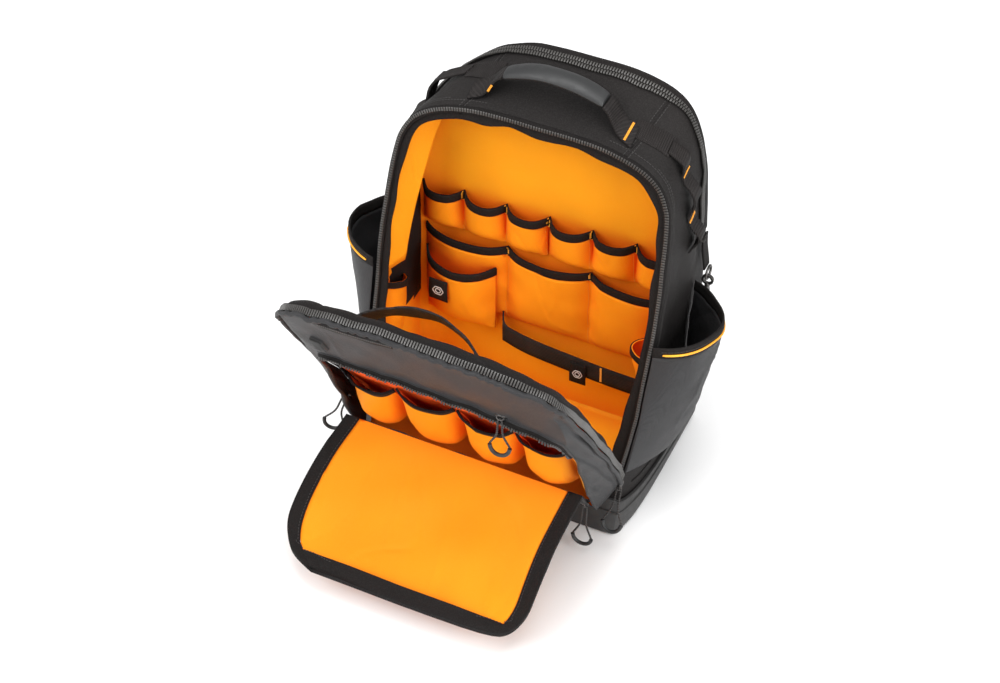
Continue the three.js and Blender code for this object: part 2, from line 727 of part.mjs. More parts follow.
function wallPieces() {
  add('wall_pocket_left', 'lining', sideWallPocket(-1, {
    yFrom: -17, yTo: 36, top: 205, topDrop: 30, foot: 92, depth: 14,
  }));
  add('wall_pocket_right', 'lining', sideWallPocket(1, {
    yFrom: 0, yTo: 50, top: 190, topDrop: 0, foot: 92, depth: 34,
  }));
  const rows = [
    { z: 398, frontGap: 12, reach: 30, inward: 15 },
    { z: 345, frontGap: 10, reach: 26, inward: 22 },
    { z: 285, frontGap: 8, reach: 29, inward: 19 },
    { z: 214, frontGap: 8, reach: 30, inward: 12 },
  ];
  const grid = rows.map(({ z, frontGap, reach, inward }) => steps(3).map((u) => {
    const y = frontY(z) + SHELL_FRONT + frontGap + reach * u;
    return vec(-(wallReach(-1, y, z) - 1 - inward * u), y, z);
  }));
  add('wall_panel_left', 'lining', sheet(grid, LINING));
}

// The door's own axes: d runs up the door from its hinge, n points away from the bag
const UP_DOOR = vec(0, -Math.sin(DOOR_ANGLE), Math.cos(DOOR_ANGLE));
const OFF_DOOR = vec(0, -Math.cos(DOOR_ANGLE), -Math.sin(DOOR_ANGLE));
const HINGE = vec(0, frontY(HINGE_Z) - 1.2, HINGE_Z);
const DOOR_LENGTH = (FRONT_HEIGHT - HINGE_Z) * PLANE;

function doorPoint(x, d, n) {
  const warp = DOOR_WARP * (Math.max(x, 0) / HALF_WIDTH) * (d / DOOR_LENGTH);
  return HINGE.clone().setX(x).addScaledVector(UP_DOOR, d).addScaledVector(OFF_DOOR, n + warp);
}

// The door's outline is the opening's, laid in the door's plane as (x, 0, d)
const DOOR_ARCH = ARCH.map((p) => vec(p.x, 0, (p.z - SILL_Z) * PLANE + 1));

// Where the tray's lip lies for each point of the door's outline, from the hinge to the top:
// across and up as shares of HALF_WIDTH and LIP_REACH, out as a share of TRAY_DEPTH
const LIP = [
  { across: 0.86, up: 0.015, out: 1 },
  { across: 0.875, up: 0.3, out: 0.9 },
  { across: 0.875, up: 0.56, out: 0.68 },
  { across: 0.87, up: 0.8, out: 0.5 },
  { across: 0.85, up: 0.93, out: 0.44 },
  { across: 0.8, up: 0.975, out: 0.425 },
  { across: 0.73, up: 0.99, out: 0.425 },
  { across: 0.63, up: 1, out: 0.425 },
  { across: 0.51, up: 1, out: 0.425 },
  { across: 0.37, up: 1, out: 0.425 },
  { across: 0.19, up: 1, out: 0.425 },
];

function lipPoint(index) {
  const count = DOOR_ARCH.length;
  const middle = (count - 1) / 2;
  if (index === middle) return { x: 0, d: LIP_REACH, n: LIP[LIP.length - 1].out * TRAY_DEPTH };
  const side = index < middle ? -1 : 1;
  const row = LIP[Math.min(index < middle ? index : count - 1 - index, LIP.length - 1)];
  const x = side * row.across * HALF_WIDTH + LIP_SHIFT * row.up;
  return { x, d: row.up * LIP_REACH, n: row.out * TRAY_DEPTH - LIP_SKEW * row.up * x / HALF_WIDTH };
}

function door() {
  // The padded board between the main compartment and the tray, bevelled to a thin edge and thin
  // where the tray's cloth lies on it
  const board = (inset, foot, thickness) => {
    const edge = spread(DOOR_ARCH, -inset);
    return edge.slice(0, (edge.length - 1) / 2).map((left, i) => {
      const right = edge[edge.length - 1 - i];
      const d = Math.max(left.z, foot);
      return steps(4).map((u) => doorPoint(lerp(left.x, right.x, u), d, thickness(d)));
    });
  };
  const padded = (d) => lerp(DOOR_PAD, DOOR_BOARD, smoothstep(d, DOOR_PAD_REACH, DOOR_PAD_REACH + 40));
  add('door_board', 'deepLining', wall(board(DOOR_PAD_BEVEL, 30, padded), board(2.5, 1, () => 0)));

  // The zip tape round the door's edge
  const tape = (outward) => {
    const edge = spread(DOOR_ARCH, outward);
    return [-4, DOOR_TAPE - 4].map((n) => edge.map((p) => doorPoint(
      p.x, p.z, Math.max(n, -4 * clamp(p.z / 40 - 0.1, 0, 1)))));
  };
  add('door_zip', 'chain', wall(tape(0.4), tape(-1.8)));

  // The tray's cloth from the zip tape to the lip
  const start = spread(DOOR_ARCH, 0);
  const column = (share) => start.map((p, i) => {
    const lip = lipPoint(i);
    const swell = 2.5 * Math.sin(Math.PI * share);
    const off = lerp(DOOR_TAPE - 2.6, lip.n, share) + swell;
    return doorPoint(lerp(p.x, lip.x, share), lerp(p.z, lip.d, share), off);
  });
  add('door_tray', 'fabric', sheet([0, 0.25, 0.5, 0.75, 1].map(column), TRAY_WALL));

  // The facing rolled in round the door's inner edge
  const roll = [
    { inset: 3.5, n: -1.6 },
    { inset: 6, n: -9 },
    { inset: 13, n: -12 },
    { inset: 19, n: -7 },
    { inset: 21, n: -1.6 },
  ];
  const least = roll[0].n;
  add('door_facing', 'tape', sheet(roll.map(({ inset, n }) => spread(DOOR_ARCH, -inset).map((p) => {
    const d = lerp(14, DOOR_LENGTH, p.z / DOOR_LENGTH);
    return doorPoint(p.x, d, least + (n - least) * clamp(d / 60, 0, 1));
  })), LINING));
}

// The tray's floor and low front wall, which carries the flap
function trayBase() {
  const profile = [
    { d: 2.2, n: 1.6, width: 0.9 },
    { d: 2.2, n: TRAY_DEPTH - 2, width: 0.83 },
    { d: 6, n: TRAY_DEPTH + 1.5, width: 0.825 },
    { d: FLAP_HINGE_REACH, n: TRAY_DEPTH + 1.5, width: 0.845 },
  ];
  const grid = profile.map(({ d, n, width }) => steps(8).map((u) => doorPoint(
    lerp(-1, 1, u) * width * HALF_WIDTH, d, n)));
  add('tray_base', 'fabric', sheet(grid, TRAY_WALL));
}

// The webbing loop standing off the inside of the door
function doorLoop() {
  const { reach, from, to, end, standOff, width } = DOOR_LOOP;
  const seat = WEBBING / 2 + GAP;
  const path = steps(12).map((t) => doorPoint(
    lerp(from, to, t), reach, -seat - standOff * Math.sin(Math.PI * t) ** 0.7));
  path.unshift(doorPoint(from - end, reach, -seat));
  path.push(doorPoint(to + end, reach, -seat));
  add('door_loop', 'webbing', strap(path, UP_DOOR, width, WEBBING));
}

// Four tool pockets in the tray
const TOOL_POCKETS = [
  { from: -132, to: -76, rim: 146, foot: 61 },
  { from: -72, to: -4, rim: 152, foot: 61 },
  { from: 0, to: 64, rim: 152, foot: 61 },
  { from: 68, to: 131, rim: 148, foot: 61 },
];
const POCKET_TAPER = [
  { down: 0, out: 0.42 },
  { down: 0.25, out: 0.62 },
  { down: 0.5, out: 0.86 },
  { down: 0.75, out: 1 },
  { down: 0.93, out: 0.93 },
  { down: 1, out: 0.03 },
];

function toolPockets() {
  const base = DOOR_PAD + 1.4;
  const reach = TRAY_DEPTH - base - 2;
  TOOL_POCKETS.forEach(({ from, to, rim, foot }, index) => {
    const columns = steps(8);
    const wave = (u) => Math.sin(Math.PI * u) ** 0.5;
    const low = rim - 7 - GAP;
    const body = POCKET_TAPER.map(({ down, out }) => columns.map((u) => doorPoint(
      lerp(from, to, u), lerp(low, foot, down), base + reach * out * wave(u))));
    add(`tool_pocket_${index + 1}`, 'lining', sheet(body, LINING));
    const band = [rim, low + GAP].map((d) => columns.map((u) => doorPoint(
      lerp(from, to, u), d, base + reach * POCKET_TAPER[0].out * wave(u))));
    add(`tool_pocket_binding_${index + 1}`, 'tape', sheet(band, BINDING));
  });
}

// The flap: along its length from the hinge, and across it
const flapRoot = doorPoint(0, FLAP_HINGE_REACH + 1.5, TRAY_DEPTH + 1.5);

function flapHalfWidth(share) {
  const wide = lerp(0.975, 1, Math.min(1, share * 2)) * FLAP_HALF_WIDTH;
  const start = 1 - FLAP_CORNER / FLAP_LENGTH;
  if (share <= start) return wide;
  const t = (share - start) / (1 - start);
  return wide - (FLAP_HALF_WIDTH - FLAP_END_HALF_WIDTH) * (1 - Math.sqrt(1 - t * t));
}

function flapPoint(share, across, up) {
  const reach = across * flapHalfWidth(share);
  const x = reach - FLAP_SKEW * (0.3 + Math.sin(Math.PI * share));
  const drop = FLAP_DROP * (share * 1.12 - 0.12 * share ** 3);
  const curl = FLAP_CURL * (Math.abs(reach) / FLAP_HALF_WIDTH) ** 3 * share;
  return vec(x, flapRoot.y - 1 - FLAP_LENGTH * share * 0.94, flapRoot.z - drop + curl + up);
}

const FLAP_ROWS = [0, 0.12, 0.3, 0.5, 0.68, 0.76, 0.84, 0.91, 0.96, 1];

function frontFlap() {
  const border = FLAP_BORDER / FLAP_HALF_WIDTH;
  const end = 1 - FLAP_BORDER / FLAP_LENGTH;
  const rows = FLAP_ROWS.map((share) => share * end);
  const columns = steps(8).map((u) => lerp(-1, 1, u) * (1 - border));
  const layer = (up) => rows.map((share) => columns.map((a) => flapPoint(share, a, up)));
  add('front_flap', 'lining', wall(layer(FLAP_THICKNESS / 2), layer(-FLAP_THICKNESS / 2)));

  // The wide tape bound round its three free edges
  const gap = GAP / FLAP_HALF_WIDTH;
  const innerEdge = [
    ...rows.map((share) => [share, -(1 - border + gap)]),
    ...rows.slice().reverse().map((share) => [share, 1 - border + gap]),
  ];
  const outerEdge = [
    ...FLAP_ROWS.map((share) => [share, -1]),
    ...FLAP_ROWS.slice().reverse().map((share) => [share, 1]),
  ];
  const shift = (pair, last) => [Math.min(pair[0] + (last ? 0.004 : 0), 1), pair[1]];
  const half = FLAP_THICKNESS / 2 + 0.7;
  const edge = (line, up) => line.map((pair, i) => flapPoint(
    ...shift(pair, i >= rows.length - 1 && i <= rows.length), up));
  const bind = (up) => [edge(innerEdge, up), edge(outerEdge, up)];
  add('flap_binding', 'tape', wall(bind(half), bind(-half)));
}

// A pull: a cord doubled through a slider, ending in a moulded bow; its points run from the
// slider down one leg, round the bow and back up
function pull(label, top, bottom, facing) {
  const down = vec().subVectors(bottom, top).normalize();
  const across = vec().crossVectors(down, facing).normalize();
  const bow = steps(8).map((t) => bottom.clone()
    .addScaledVector(across, PULL_GRIP_RADIUS * Math.cos(Math.PI * t))
    .addScaledVector(down, PULL_GRIP_RADIUS * Math.sin(Math.PI * t)));
  add(`pull_bow_${label}`, 'rubber', bar(bow, PULL_GRIP_TUBE, 8, 10));
  const reach = PULL_GRIP_RADIUS;
  const legs = [
    bottom.clone().addScaledVector(across, reach).addScaledVector(down, -3 * GAP),
    bottom.clone().addScaledVector(across, 0.55 * reach).lerp(top, 0.42),
    top.clone().addScaledVector(across, 2.4).addScaledVector(down, 4),
    top.clone().addScaledVector(down, 0),
    top.clone().addScaledVector(across, -2.4).addScaledVector(down, 4),
    bottom.clone().addScaledVector(across, -0.55 * reach).lerp(top, 0.42),
    bottom.clone().addScaledVector(across, -reach).addScaledVector(down, -3 * GAP),
  ];
  add(`pull_cord_${label}`, 'cord', bar(legs, CORD_DIAMETER / 2, 8, 16));
}

function pulls() {
  pull('main_right', vec(158, -76, 76), vec(159, -95.2, 37.5), vec(0, -1, 0));
  pull('front_right', vec(134.3, -115.6, 73.9), vec(133, -116.7, 24), vec(0, -1, 0.2));
  pull('front_left', vec(-153, -122.6, 122.6), vec(-165.8, -128.4, 84), vec(0.3, -1, 0));
  pull('tray', vec(80, -221.4, 284.5), vec(83, -227.5, 252.4), vec(0, -1, 0.3));
}

// The webbing tab, ring and snap hook at the right rear edge
function snapHook() {
  const x = sideReach(1, 112, 250) + 7;
  const tab = [vec(x - 3.8, 112, 296), vec(x - 3.5, 112, 280), vec(x, 112, 262), vec(x + 1, 112, 252)];
  add('hook_tab', 'webbing', strap(tab, vec(0, 1, 0), 14, WEBBING));
  const ring = new THREE.TorusGeometry(8, 1.5, 6, 16);
  ring.rotateY(Math.PI / 2);
  ring.translate(x + 4.2, 112, 245);
  add('hook_ring', 'metal', ring);
  const outline = new THREE.Shape();
  outline.absarc(0, 0, 7, 0, 2 * Math.PI);
  const hole = new THREE.Path();
  hole.absarc(0, 0, 4.4, 0, 2 * Math.PI);
  outline.holes.push(hole);
  const eye = new THREE.ExtrudeGeometry(outline, { depth: 3.2, bevelEnabled: false, curveSegments: 10 });
  eye.rotateX(Math.PI / 2);
  eye.translate(x + 4.2, 113.6, 234.4);
  add('snap_hook', 'metal', eye);
}

bodyShell();
lining();
frontFrame();
frontZip();
rearZip();
baseBoot();
backPanel();
shoulderStraps();
handle();
sideWebbing();
sidePockets();
interiorPockets();
tags();
toolStrap();
wallPieces();
door();
trayBase();
doorLoop();
toolPockets();
frontFlap();
pulls();
snapHook();

export default backpack;
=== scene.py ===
# %% [markdown]
# # A tool backpack that stands open
#
# The bag is sewn from coated black cloth over an orange lining. Its front is a door that has been
# folded down, and a flap hangs from the door. Every solid of the measured model is loaded first,
# so that each cloth piece below can start from a shape of the right size in the right place.

# %% Load the measured model
import math

import bmesh
import bpy
import numpy as np
from mathutils import Matrix, Vector
from mathutils.bvhtree import BVHTree


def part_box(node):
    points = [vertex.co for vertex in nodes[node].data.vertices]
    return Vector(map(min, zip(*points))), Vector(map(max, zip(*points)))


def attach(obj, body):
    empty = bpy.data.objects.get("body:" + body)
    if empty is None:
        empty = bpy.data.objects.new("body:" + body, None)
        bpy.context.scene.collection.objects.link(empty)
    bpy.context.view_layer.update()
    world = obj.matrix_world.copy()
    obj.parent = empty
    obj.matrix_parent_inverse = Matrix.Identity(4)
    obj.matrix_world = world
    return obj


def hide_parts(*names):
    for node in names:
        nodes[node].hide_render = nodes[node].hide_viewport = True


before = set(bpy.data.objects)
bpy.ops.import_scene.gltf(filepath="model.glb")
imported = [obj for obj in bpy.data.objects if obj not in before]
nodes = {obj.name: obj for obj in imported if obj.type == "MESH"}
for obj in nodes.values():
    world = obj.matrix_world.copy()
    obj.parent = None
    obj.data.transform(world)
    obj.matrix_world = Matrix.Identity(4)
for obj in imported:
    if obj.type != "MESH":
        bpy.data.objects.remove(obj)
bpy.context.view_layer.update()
scene = bpy.context.scene

# %% [markdown]
# ## The camera
#
# The photo looks down on the bag's right front corner with a long lens. A camera is a position and
# three directions: its right, its up and its view. Setting the matrix from those keeps the small
# roll that a Track To constraint would take away.

# %% Place the camera
AZIMUTH, ELEVATION, ROLL = (math.radians(angle) for angle in (24.5, 44.0, 0.7))
TARGET = Vector((-0.0217, 0, 0.1553))
DISTANCE = 2.343
LENS = 75.85

ahead = Vector((
    -math.sin(AZIMUTH) * math.cos(ELEVATION),
    math.cos(AZIMUTH) * math.cos(ELEVATION),
    -math.sin(ELEVATION),
))
level = Vector((math.cos(AZIMUTH), math.sin(AZIMUTH), 0))
upright = level.cross(ahead)
camera_right = level * math.cos(ROLL) + upright * math.sin(ROLL)
camera_up = upright * math.cos(ROLL) - level * math.sin(ROLL)

camera = bpy.data.objects.new("camera", bpy.data.cameras.new("camera"))
camera.data.lens = LENS
camera.data.sensor_width = 36
axes = Matrix((camera_right, camera_up, -ahead)).transposed().to_4x4()
camera.matrix_world = Matrix.Translation(TARGET - ahead * DISTANCE) @ axes
scene.collection.objects.link(camera)
scene.camera = camera
print("camera at", [round(v, 3) for v in camera.location])

# %% [markdown]
# ## Shader expressions
#
# Procedural cloth needs arithmetic on patterns. A node tree drawn by hand is hard to read, so one
# small class wraps a socket and gives it the usual operators: `weave * 0.5 + 0.5` adds two Math
# nodes. Colours go through Mix nodes, because a Math node would turn them grey.

# %% A socket that can be used in sums
class Field:
    def __init__(self, finish, socket):
        self.finish = finish
        self.socket = socket

    def calculate(self, operation, *others):
        return self.finish.node("Math", {"operation": operation}, {
            i: value for i, value in enumerate((self, *others))})

    def __add__(self, other):
        return self.calculate("ADD", other)

    def __mul__(self, other):
        return self.calculate("MULTIPLY", other)

    def __sub__(self, other):
        return self.calculate("SUBTRACT", other)

    def __rsub__(self, other):
        return (self * -1) + other

    def __abs__(self):
        return self.calculate("ABSOLUTE")

    def __pow__(self, other):
        return self.calculate("POWER", other)

    def sine(self):
        return self.calculate("SINE")

    def between(self, low, high):
        return self.finish.node("MapRange", {"clamp": True, "interpolation_type": "SMOOTHSTEP"}, {
            "Value": self, "From Min": low, "From Max": high})

    __radd__ = __add__
    __rmul__ = __mul__


# %% A material and the one method that adds its nodes
class Finish:
    def __init__(self, name, **settings):
        self.material = bpy.data.materials.new(name)
        self.material.use_nodes = True
        self.tree = self.material.node_tree
        self.shader = self.tree.nodes["Principled BSDF"]
        for setting, value in settings.items():
            socket = setting.replace("_", " ").title().replace("Ior", "IOR")
            self.shader.inputs[socket].default_value = value

    def node(self, kind, settings=None, sockets=None, output=0):
        made = self.tree.nodes.new("ShaderNode" + kind)
        for name, value in (settings or {}).items():
            setattr(made, name, value)
        for name, value in (sockets or {}).items():
            self.feed(made.inputs[name], value)
        return Field(self, made.outputs[output])

    def feed(self, socket, value):
        if isinstance(value, Field):
            self.tree.links.new(value.socket, socket)
        else:
            socket.default_value = value

    def mix(self, amount, low, high):
        return self.node("Mix", {"data_type": "RGBA"}, {0: amount, 6: low, 7: high}, output=2)

    def place(self):
        return self.node("TexCoord", output=3)

    def clouds(self, scale, detail=2.0):
        return self.node("TexNoise", {}, {"Vector": self.place(), "Scale": scale, "Detail": detail})

    def axis(self, vector, letter):
        return self.node("SeparateXYZ", {}, {0: vector}, output="XYZ".index(letter))

    def set(self, socket, value):
        self.feed(self.shader.inputs[socket], value)

    def bump(self, height, distance, strength=1.0):
        self.set("Normal", self.node("Bump", {}, {
            "Height": height, "Distance": distance, "Strength": strength}))


print("shader helpers are ready")

# %% [markdown]
# ## Weave
#
# Woven cloth is rows of threads that cross. Two sine waves multiplied give such a basket of bumps
# on one plane. The bag's cloth faces every way, so the basket is worked out on three planes and
# each is weighted by how far the surface faces it.

# %% A basket weave on any surface
def basket(finish, thread):
    turn = 2 * math.pi / (2 * thread)
    place = finish.place()
    facing = finish.node("NewGeometry", output=1)
    waves = {letter: (finish.axis(place, letter) * turn).sine() for letter in "XYZ"}
    weights = {letter: abs(finish.axis(facing, letter)) ** 2 for letter in "XYZ"}
    return (waves["Y"] * waves["Z"] * weights["X"]
            + waves["X"] * waves["Z"] * weights["Y"]
            + waves["X"] * waves["Y"] * weights["Z"])


def cloth(name, colour, worn, thread, roughness, depth=0.00022, dark=0.75, gloss=0.2, painted_corner_shade=None):
    """Woven cloth; the last colour, if given, is painted into its corners as shade and bounced
    light
    """
    finish = Finish(name, specular_ior_level=gloss)
    weave = basket(finish, thread)
    patches = finish.clouds(14).between(0.3, 0.7)
    specks = finish.clouds(700, 1.0).between(0.35, 0.75)
    shade = [c * dark for c in colour[:3]] + [1]
    base = finish.mix(patches, shade, colour)
    base = finish.mix(specks * 0.3, base, worn)
    base = finish.mix(weave.between(-0.4, 0.9) * 0.35, base, shade)
    # Painted shade: ambient occlusion mixes a redder, darker colour into the base colour in
    # corners, for shadow and orange bounce light.
    if painted_corner_shade:
        open_share = finish.node("AmbientOcclusion", {"samples": 4}, {"Distance": 0.06}, output=1)
        base = finish.mix(open_share.between(0.3, 0.92), painted_corner_shade, base)
    finish.set("Base Color", base)
    finish.set("Roughness", roughness + patches * 0.08 - specks * 0.05)
    finish.bump(weave + finish.clouds(90) * 0.8, depth)
    return finish.material


# %% [markdown]
# ## The finishes
#
# One cloth recipe serves the body, the tapes and the orange linings, with its own thread size and
# colours each time. Orange cloth lights its own corners with orange light, which makes them redder.
# That shade and bounced light are painted into the base colour: an ambient occlusion node finds
# such corners, and a redder, darker colour is mixed in there.

# %% Mix the cloths
def rgb(red, green, blue):
    return (red, green, blue, 1)


LINING_WEAVE = {"thread": 0.0006, "depth": 0.00012}
BLACK_CLOTH = cloth("black_cloth", rgb(0.0135, 0.0115, 0.011), rgb(0.036, 0.033, 0.032),
                    0.0007, 0.66)
COATED_CLOTH = cloth("coated_cloth", rgb(0.025, 0.0245, 0.026), rgb(0.04, 0.04, 0.041), 0.0006, 0.5,
                     dark=0.88, gloss=0.3)
TAPE = cloth("binding_tape", rgb(0.0105, 0.0085, 0.008), rgb(0.028, 0.025, 0.024), 0.0005, 0.76)
MESH_PAD = cloth("pad_mesh", rgb(0.013, 0.012, 0.0115), rgb(0.035, 0.033, 0.032),
                 0.0019, 0.85, 0.0009)
# The last colour given to each orange cloth below is painted corner shade, a redder orange for
# shadow and bounced light.
ORANGE = cloth("orange_lining", rgb(0.99, 0.415, 0.010), rgb(1.0, 0.46, 0.02),
               roughness=0.66, dark=0.94, painted_corner_shade=rgb(0.90, 0.17, 0.003), **LINING_WEAVE)
POCKET_ORANGE = cloth("pocket_orange", rgb(0.97, 0.35, 0.008), rgb(0.98, 0.385, 0.014),
                      roughness=0.66, dark=0.94, painted_corner_shade=rgb(0.80, 0.10, 0.002), **LINING_WEAVE)
FLAP_ORANGE = cloth("flap_orange", rgb(0.86, 0.285, 0.003), rgb(0.88, 0.31, 0.009),
                    roughness=0.64, dark=0.97, painted_corner_shade=rgb(0.88, 0.16, 0.002), **LINING_WEAVE)
DEEP_ORANGE = cloth("deep_orange", rgb(0.86, 0.095, 0.010), rgb(0.90, 0.13, 0.016),
                    roughness=0.66, dark=0.88, **LINING_WEAVE)
print("cloths:", [m.name for m in bpy.data.materials if m.use_nodes][-8:])

# %% [markdown]
# Webbing is woven in ribs that run along it. The ribs here come from a wave across the strap's own
# direction, which is given when the material is made. Moulded parts have a fine grain instead.

# %% Mix the webbing, plastics and metal
def ribbed(name, letter, pitch, colour, roughness=0.7):
    finish = Finish(name, specular_ior_level=0.2)
    ribs = (finish.axis(finish.place(), letter) * (2 * math.pi / pitch)).sine()
    weave = basket(finish, 0.0008)
    wear = finish.clouds(60).between(0.35, 0.7)
    worn = rgb(*[min(c * 1.9, 1) for c in colour[:3]])
    finish.set("Base Color", finish.mix(ribs.between(-0.6, 1) * 0.5 + wear * 0.25, colour, worn))
    finish.set("Roughness", roughness - wear * 0.08)
    finish.bump(ribs + weave * 0.5, 0.0004)
    return finish.material


def moulded(name, colour, roughness, grain=700, depth=0.00012):
    finish = Finish(name)
    scuffs = finish.clouds(34, 4.0).between(0.45, 0.8)
    worn = rgb(*[min(c * 1.7 + 0.004, 1) for c in colour[:3]])
    finish.set("Base Color", finish.mix(scuffs * 0.5, colour, worn))
    finish.set("Roughness", roughness + finish.clouds(120).between(0.3, 0.7) * 0.1)
    finish.bump(finish.clouds(grain, 2.0), depth)
    return finish.material


def metal(name, colour, roughness):
    finish = Finish(name, metallic=1.0)
    marks = finish.clouds(260, 3.0).between(0.4, 0.7)
    finish.set("Base Color", finish.mix(marks, colour, rgb(*[min(c * 1.5, 1) for c in colour[:3]])))
    finish.set("Roughness", roughness + marks * 0.15)
    finish.bump(finish.clouds(900), 0.00005)
    return finish.material


WEBBING = ribbed("webbing", "Z", 0.0022, rgb(0.0125, 0.0105, 0.010))
WEBBING_ACROSS = ribbed("webbing_across", "X", 0.0022, rgb(0.0125, 0.0105, 0.010))
BOOT = moulded("moulded_boot", rgb(0.026, 0.025, 0.0245), 0.56, 900, 0.0002)
GRIP = moulded("grip_rubber", rgb(0.016, 0.0165, 0.017), 0.46)
CORD = ribbed("pull_cord", "Z", 0.0026, rgb(0.04, 0.037, 0.036))
DARK_METAL = metal("dark_metal", rgb(0.09, 0.085, 0.082), 0.3)
THREAD = moulded("orange_thread", rgb(0.80, 0.32, 0.02), 0.6)
BLACK_THREAD = moulded("black_thread", rgb(0.026, 0.024, 0.023), 0.6)
PIPING = moulded("orange_piping", rgb(0.90, 0.36, 0.015), 0.5)
print("finishes in all:", len(bpy.data.materials))

# %% [markdown]
# ## Floor and light
#
# A soft studio look needs large lights: the wider a lamp is, the softer its shadow. One broad lamp
# hangs over the bag's left front, a second fills the right side, and a third lights the inside from
# above. The world itself is pale, so that the dark cloth has something bright to reflect.

# %% Floor, lamps and world
def plain_mesh(name, points, faces):
    mesh = bpy.data.meshes.new(name)
    mesh.from_pydata(points, [], faces)
    mesh.update()
    made = bpy.data.objects.new(name, mesh)
    scene.collection.objects.link(made)
    return made


FLOOR_REACH = 12
FLOOR_DROP = 0.0002
floor_corners = [(x * FLOOR_REACH, y * FLOOR_REACH, -FLOOR_DROP)
                 for x, y in ((-1, -1), (1, -1), (1, 1), (-1, 1))]
floor = plain_mesh("floor", floor_corners, [(0, 1, 2, 3)])
floor_finish = Finish("pale_floor", roughness=0.7)
floor_finish.set("Base Color", floor_finish.mix(
    floor_finish.clouds(0.6), rgb(0.90, 0.90, 0.90), rgb(0.92, 0.92, 0.92)))
floor.data.materials.append(floor_finish.material)

LIT_PLACE = Vector((0, -0.05, 0.2))
LAMPS = {
    "key": {"place": (-1.6, -2.2, 2.7), "size": 2.2, "power": 84},
    "fill": {"place": (2.6, -1.2, 1.6), "size": 1.8, "power": 60},
    "top": {"place": (0.2, -0.2, 2.6), "size": 1.6, "power": 42},
}
for name, lamp in LAMPS.items():
    light = bpy.data.lights.new(name, "AREA")
    light.size = lamp["size"]
    light.energy = lamp["power"]
    holder = bpy.data.objects.new(name + "_lamp", light)
    holder.location = lamp["place"]
    aim = LIT_PLACE - holder.location
    holder.rotation_euler = aim.to_track_quat("-Z", "Y").to_euler()
    scene.collection.objects.link(holder)

world = bpy.data.worlds.new("pale_room")
world.use_nodes = True
world.node_tree.nodes["Background"].inputs["Color"].default_value = rgb(1, 1, 1)
world.node_tree.nodes["Background"].inputs["Strength"].default_value = 0.64
scene.world = world
scene.view_settings.view_transform = "Standard"
print("lamps:", list(LAMPS))

# %% [markdown]
# ## From solid to cloth
#
# A measured solid has flat facets. Merging its doubled corners and joining its triangles gives back
# the grid of four-sided faces it was drawn with, and a subdivision surface rounds such a grid well.
# Edges that turn sharply are creased first, so that a binding keeps its crisp rim.

# %% Refine a solid into a smooth piece
MM = 0.001


def welded(node):
    bm = bmesh.new()
    bm.from_mesh(nodes[node].data)
    bmesh.ops.remove_doubles(bm, verts=bm.verts, dist=1e-5)
    bmesh.ops.join_triangles(
        bm, faces=bm.faces, cmp_seam=False, cmp_sharp=False, cmp_uvs=False, cmp_vcols=False,
        cmp_materials=False, angle_face_threshold=math.radians(40),
        angle_shape_threshold=math.radians(50))
    return bm


def applied(piece):
    """Replaces a piece's mesh by what its modifiers make of it"""
    seen = piece.evaluated_get(bpy.context.evaluated_depsgraph_get())
    mesh = bpy.data.meshes.new_from_object(seen)
    piece.modifiers.clear()
    piece.data = mesh
    return piece


def finished(piece, material, slot, *replaced, smooth=50):
    """Gives a piece its material and its shading; the slot argument is not used"""
    piece.data.materials.clear()
    piece.data.materials.append(material)
    piece.data.polygons.foreach_set("use_smooth", [True] * len(piece.data.polygons))
    piece.data.set_sharp_from_angle(angle=math.radians(smooth))
    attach(piece, "root")
    if replaced:
        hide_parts(*replaced)
    return piece


def refined(node, material, slot, levels=2, crease=50, ending="_sewn"):
    bm = welded(node)
    sharp = bm.edges.layers.float.new("crease_edge")
    for edge in bm.edges:
        if len(edge.link_faces) == 2 and edge.calc_face_angle() > math.radians(crease):
            edge[sharp] = 1
    mesh = bpy.data.meshes.new(node + ending)
    bm.to_mesh(mesh)
    bm.free()
    piece = bpy.data.objects.new(node + ending, mesh)
    scene.collection.objects.link(piece)
    rounding = piece.modifiers.new("rounding", "SUBSURF")
    rounding.levels = rounding.render_levels = levels
    applied(piece)
    return finished(piece, material, slot, node)


print("refining helpers are ready")

# %% [markdown]
# ## The pull cords
#
# A pull is one short cord through the slider's eye with both ends in a moulded grip. All of each
# cord shows in the photo, so the route's own length is its real length. A curve object with a round
# bevel is the natural way to draw it: one open line through the points that the model uses.

# %% Pull cords and their grips
PULLS = {
    "main_right": ((158, -76, 76), (159, -95.2, 37.5), (0, -1, 0)),
    "front_right": ((134.3, -115.6, 73.9), (133, -116.7, 24), (0, -1, 0.2)),
    "front_left": ((-153, -122.6, 122.6), (-165.8, -128.4, 84), (0.3, -1, 0)),
    "tray": ((80, -221.4, 284.5), (83, -227.5, 252.4), (0, -1, 0.3)),
}
CORD_DIAMETER = 2.2 * MM
GRIP_RADIUS = 11


def smooth_line(points, per_span):
    """A Catmull-Rom line through the points"""
    padded = [points[0] * 2 - points[1], *points, points[-1] * 2 - points[-2]]
    line = []
    for a, b, c, d in zip(padded, padded[1:], padded[2:], padded[3:]):
        for step in range(per_span):
            t = step / per_span
            line.append(0.5 * (2 * b + (c - a) * t + (2 * a - 5 * b + 4 * c - d) * t * t
                               + (3 * b - a - 3 * c + d) * t ** 3))
    return line + [points[-1]]


def half_pull(top, bottom, down, across):
    return [
        bottom + across * GRIP_RADIUS - down * 1.2,
        (bottom + across * 0.55 * GRIP_RADIUS).lerp(top, 0.42),
        top + across * 2.4 + down * 4,
    ]


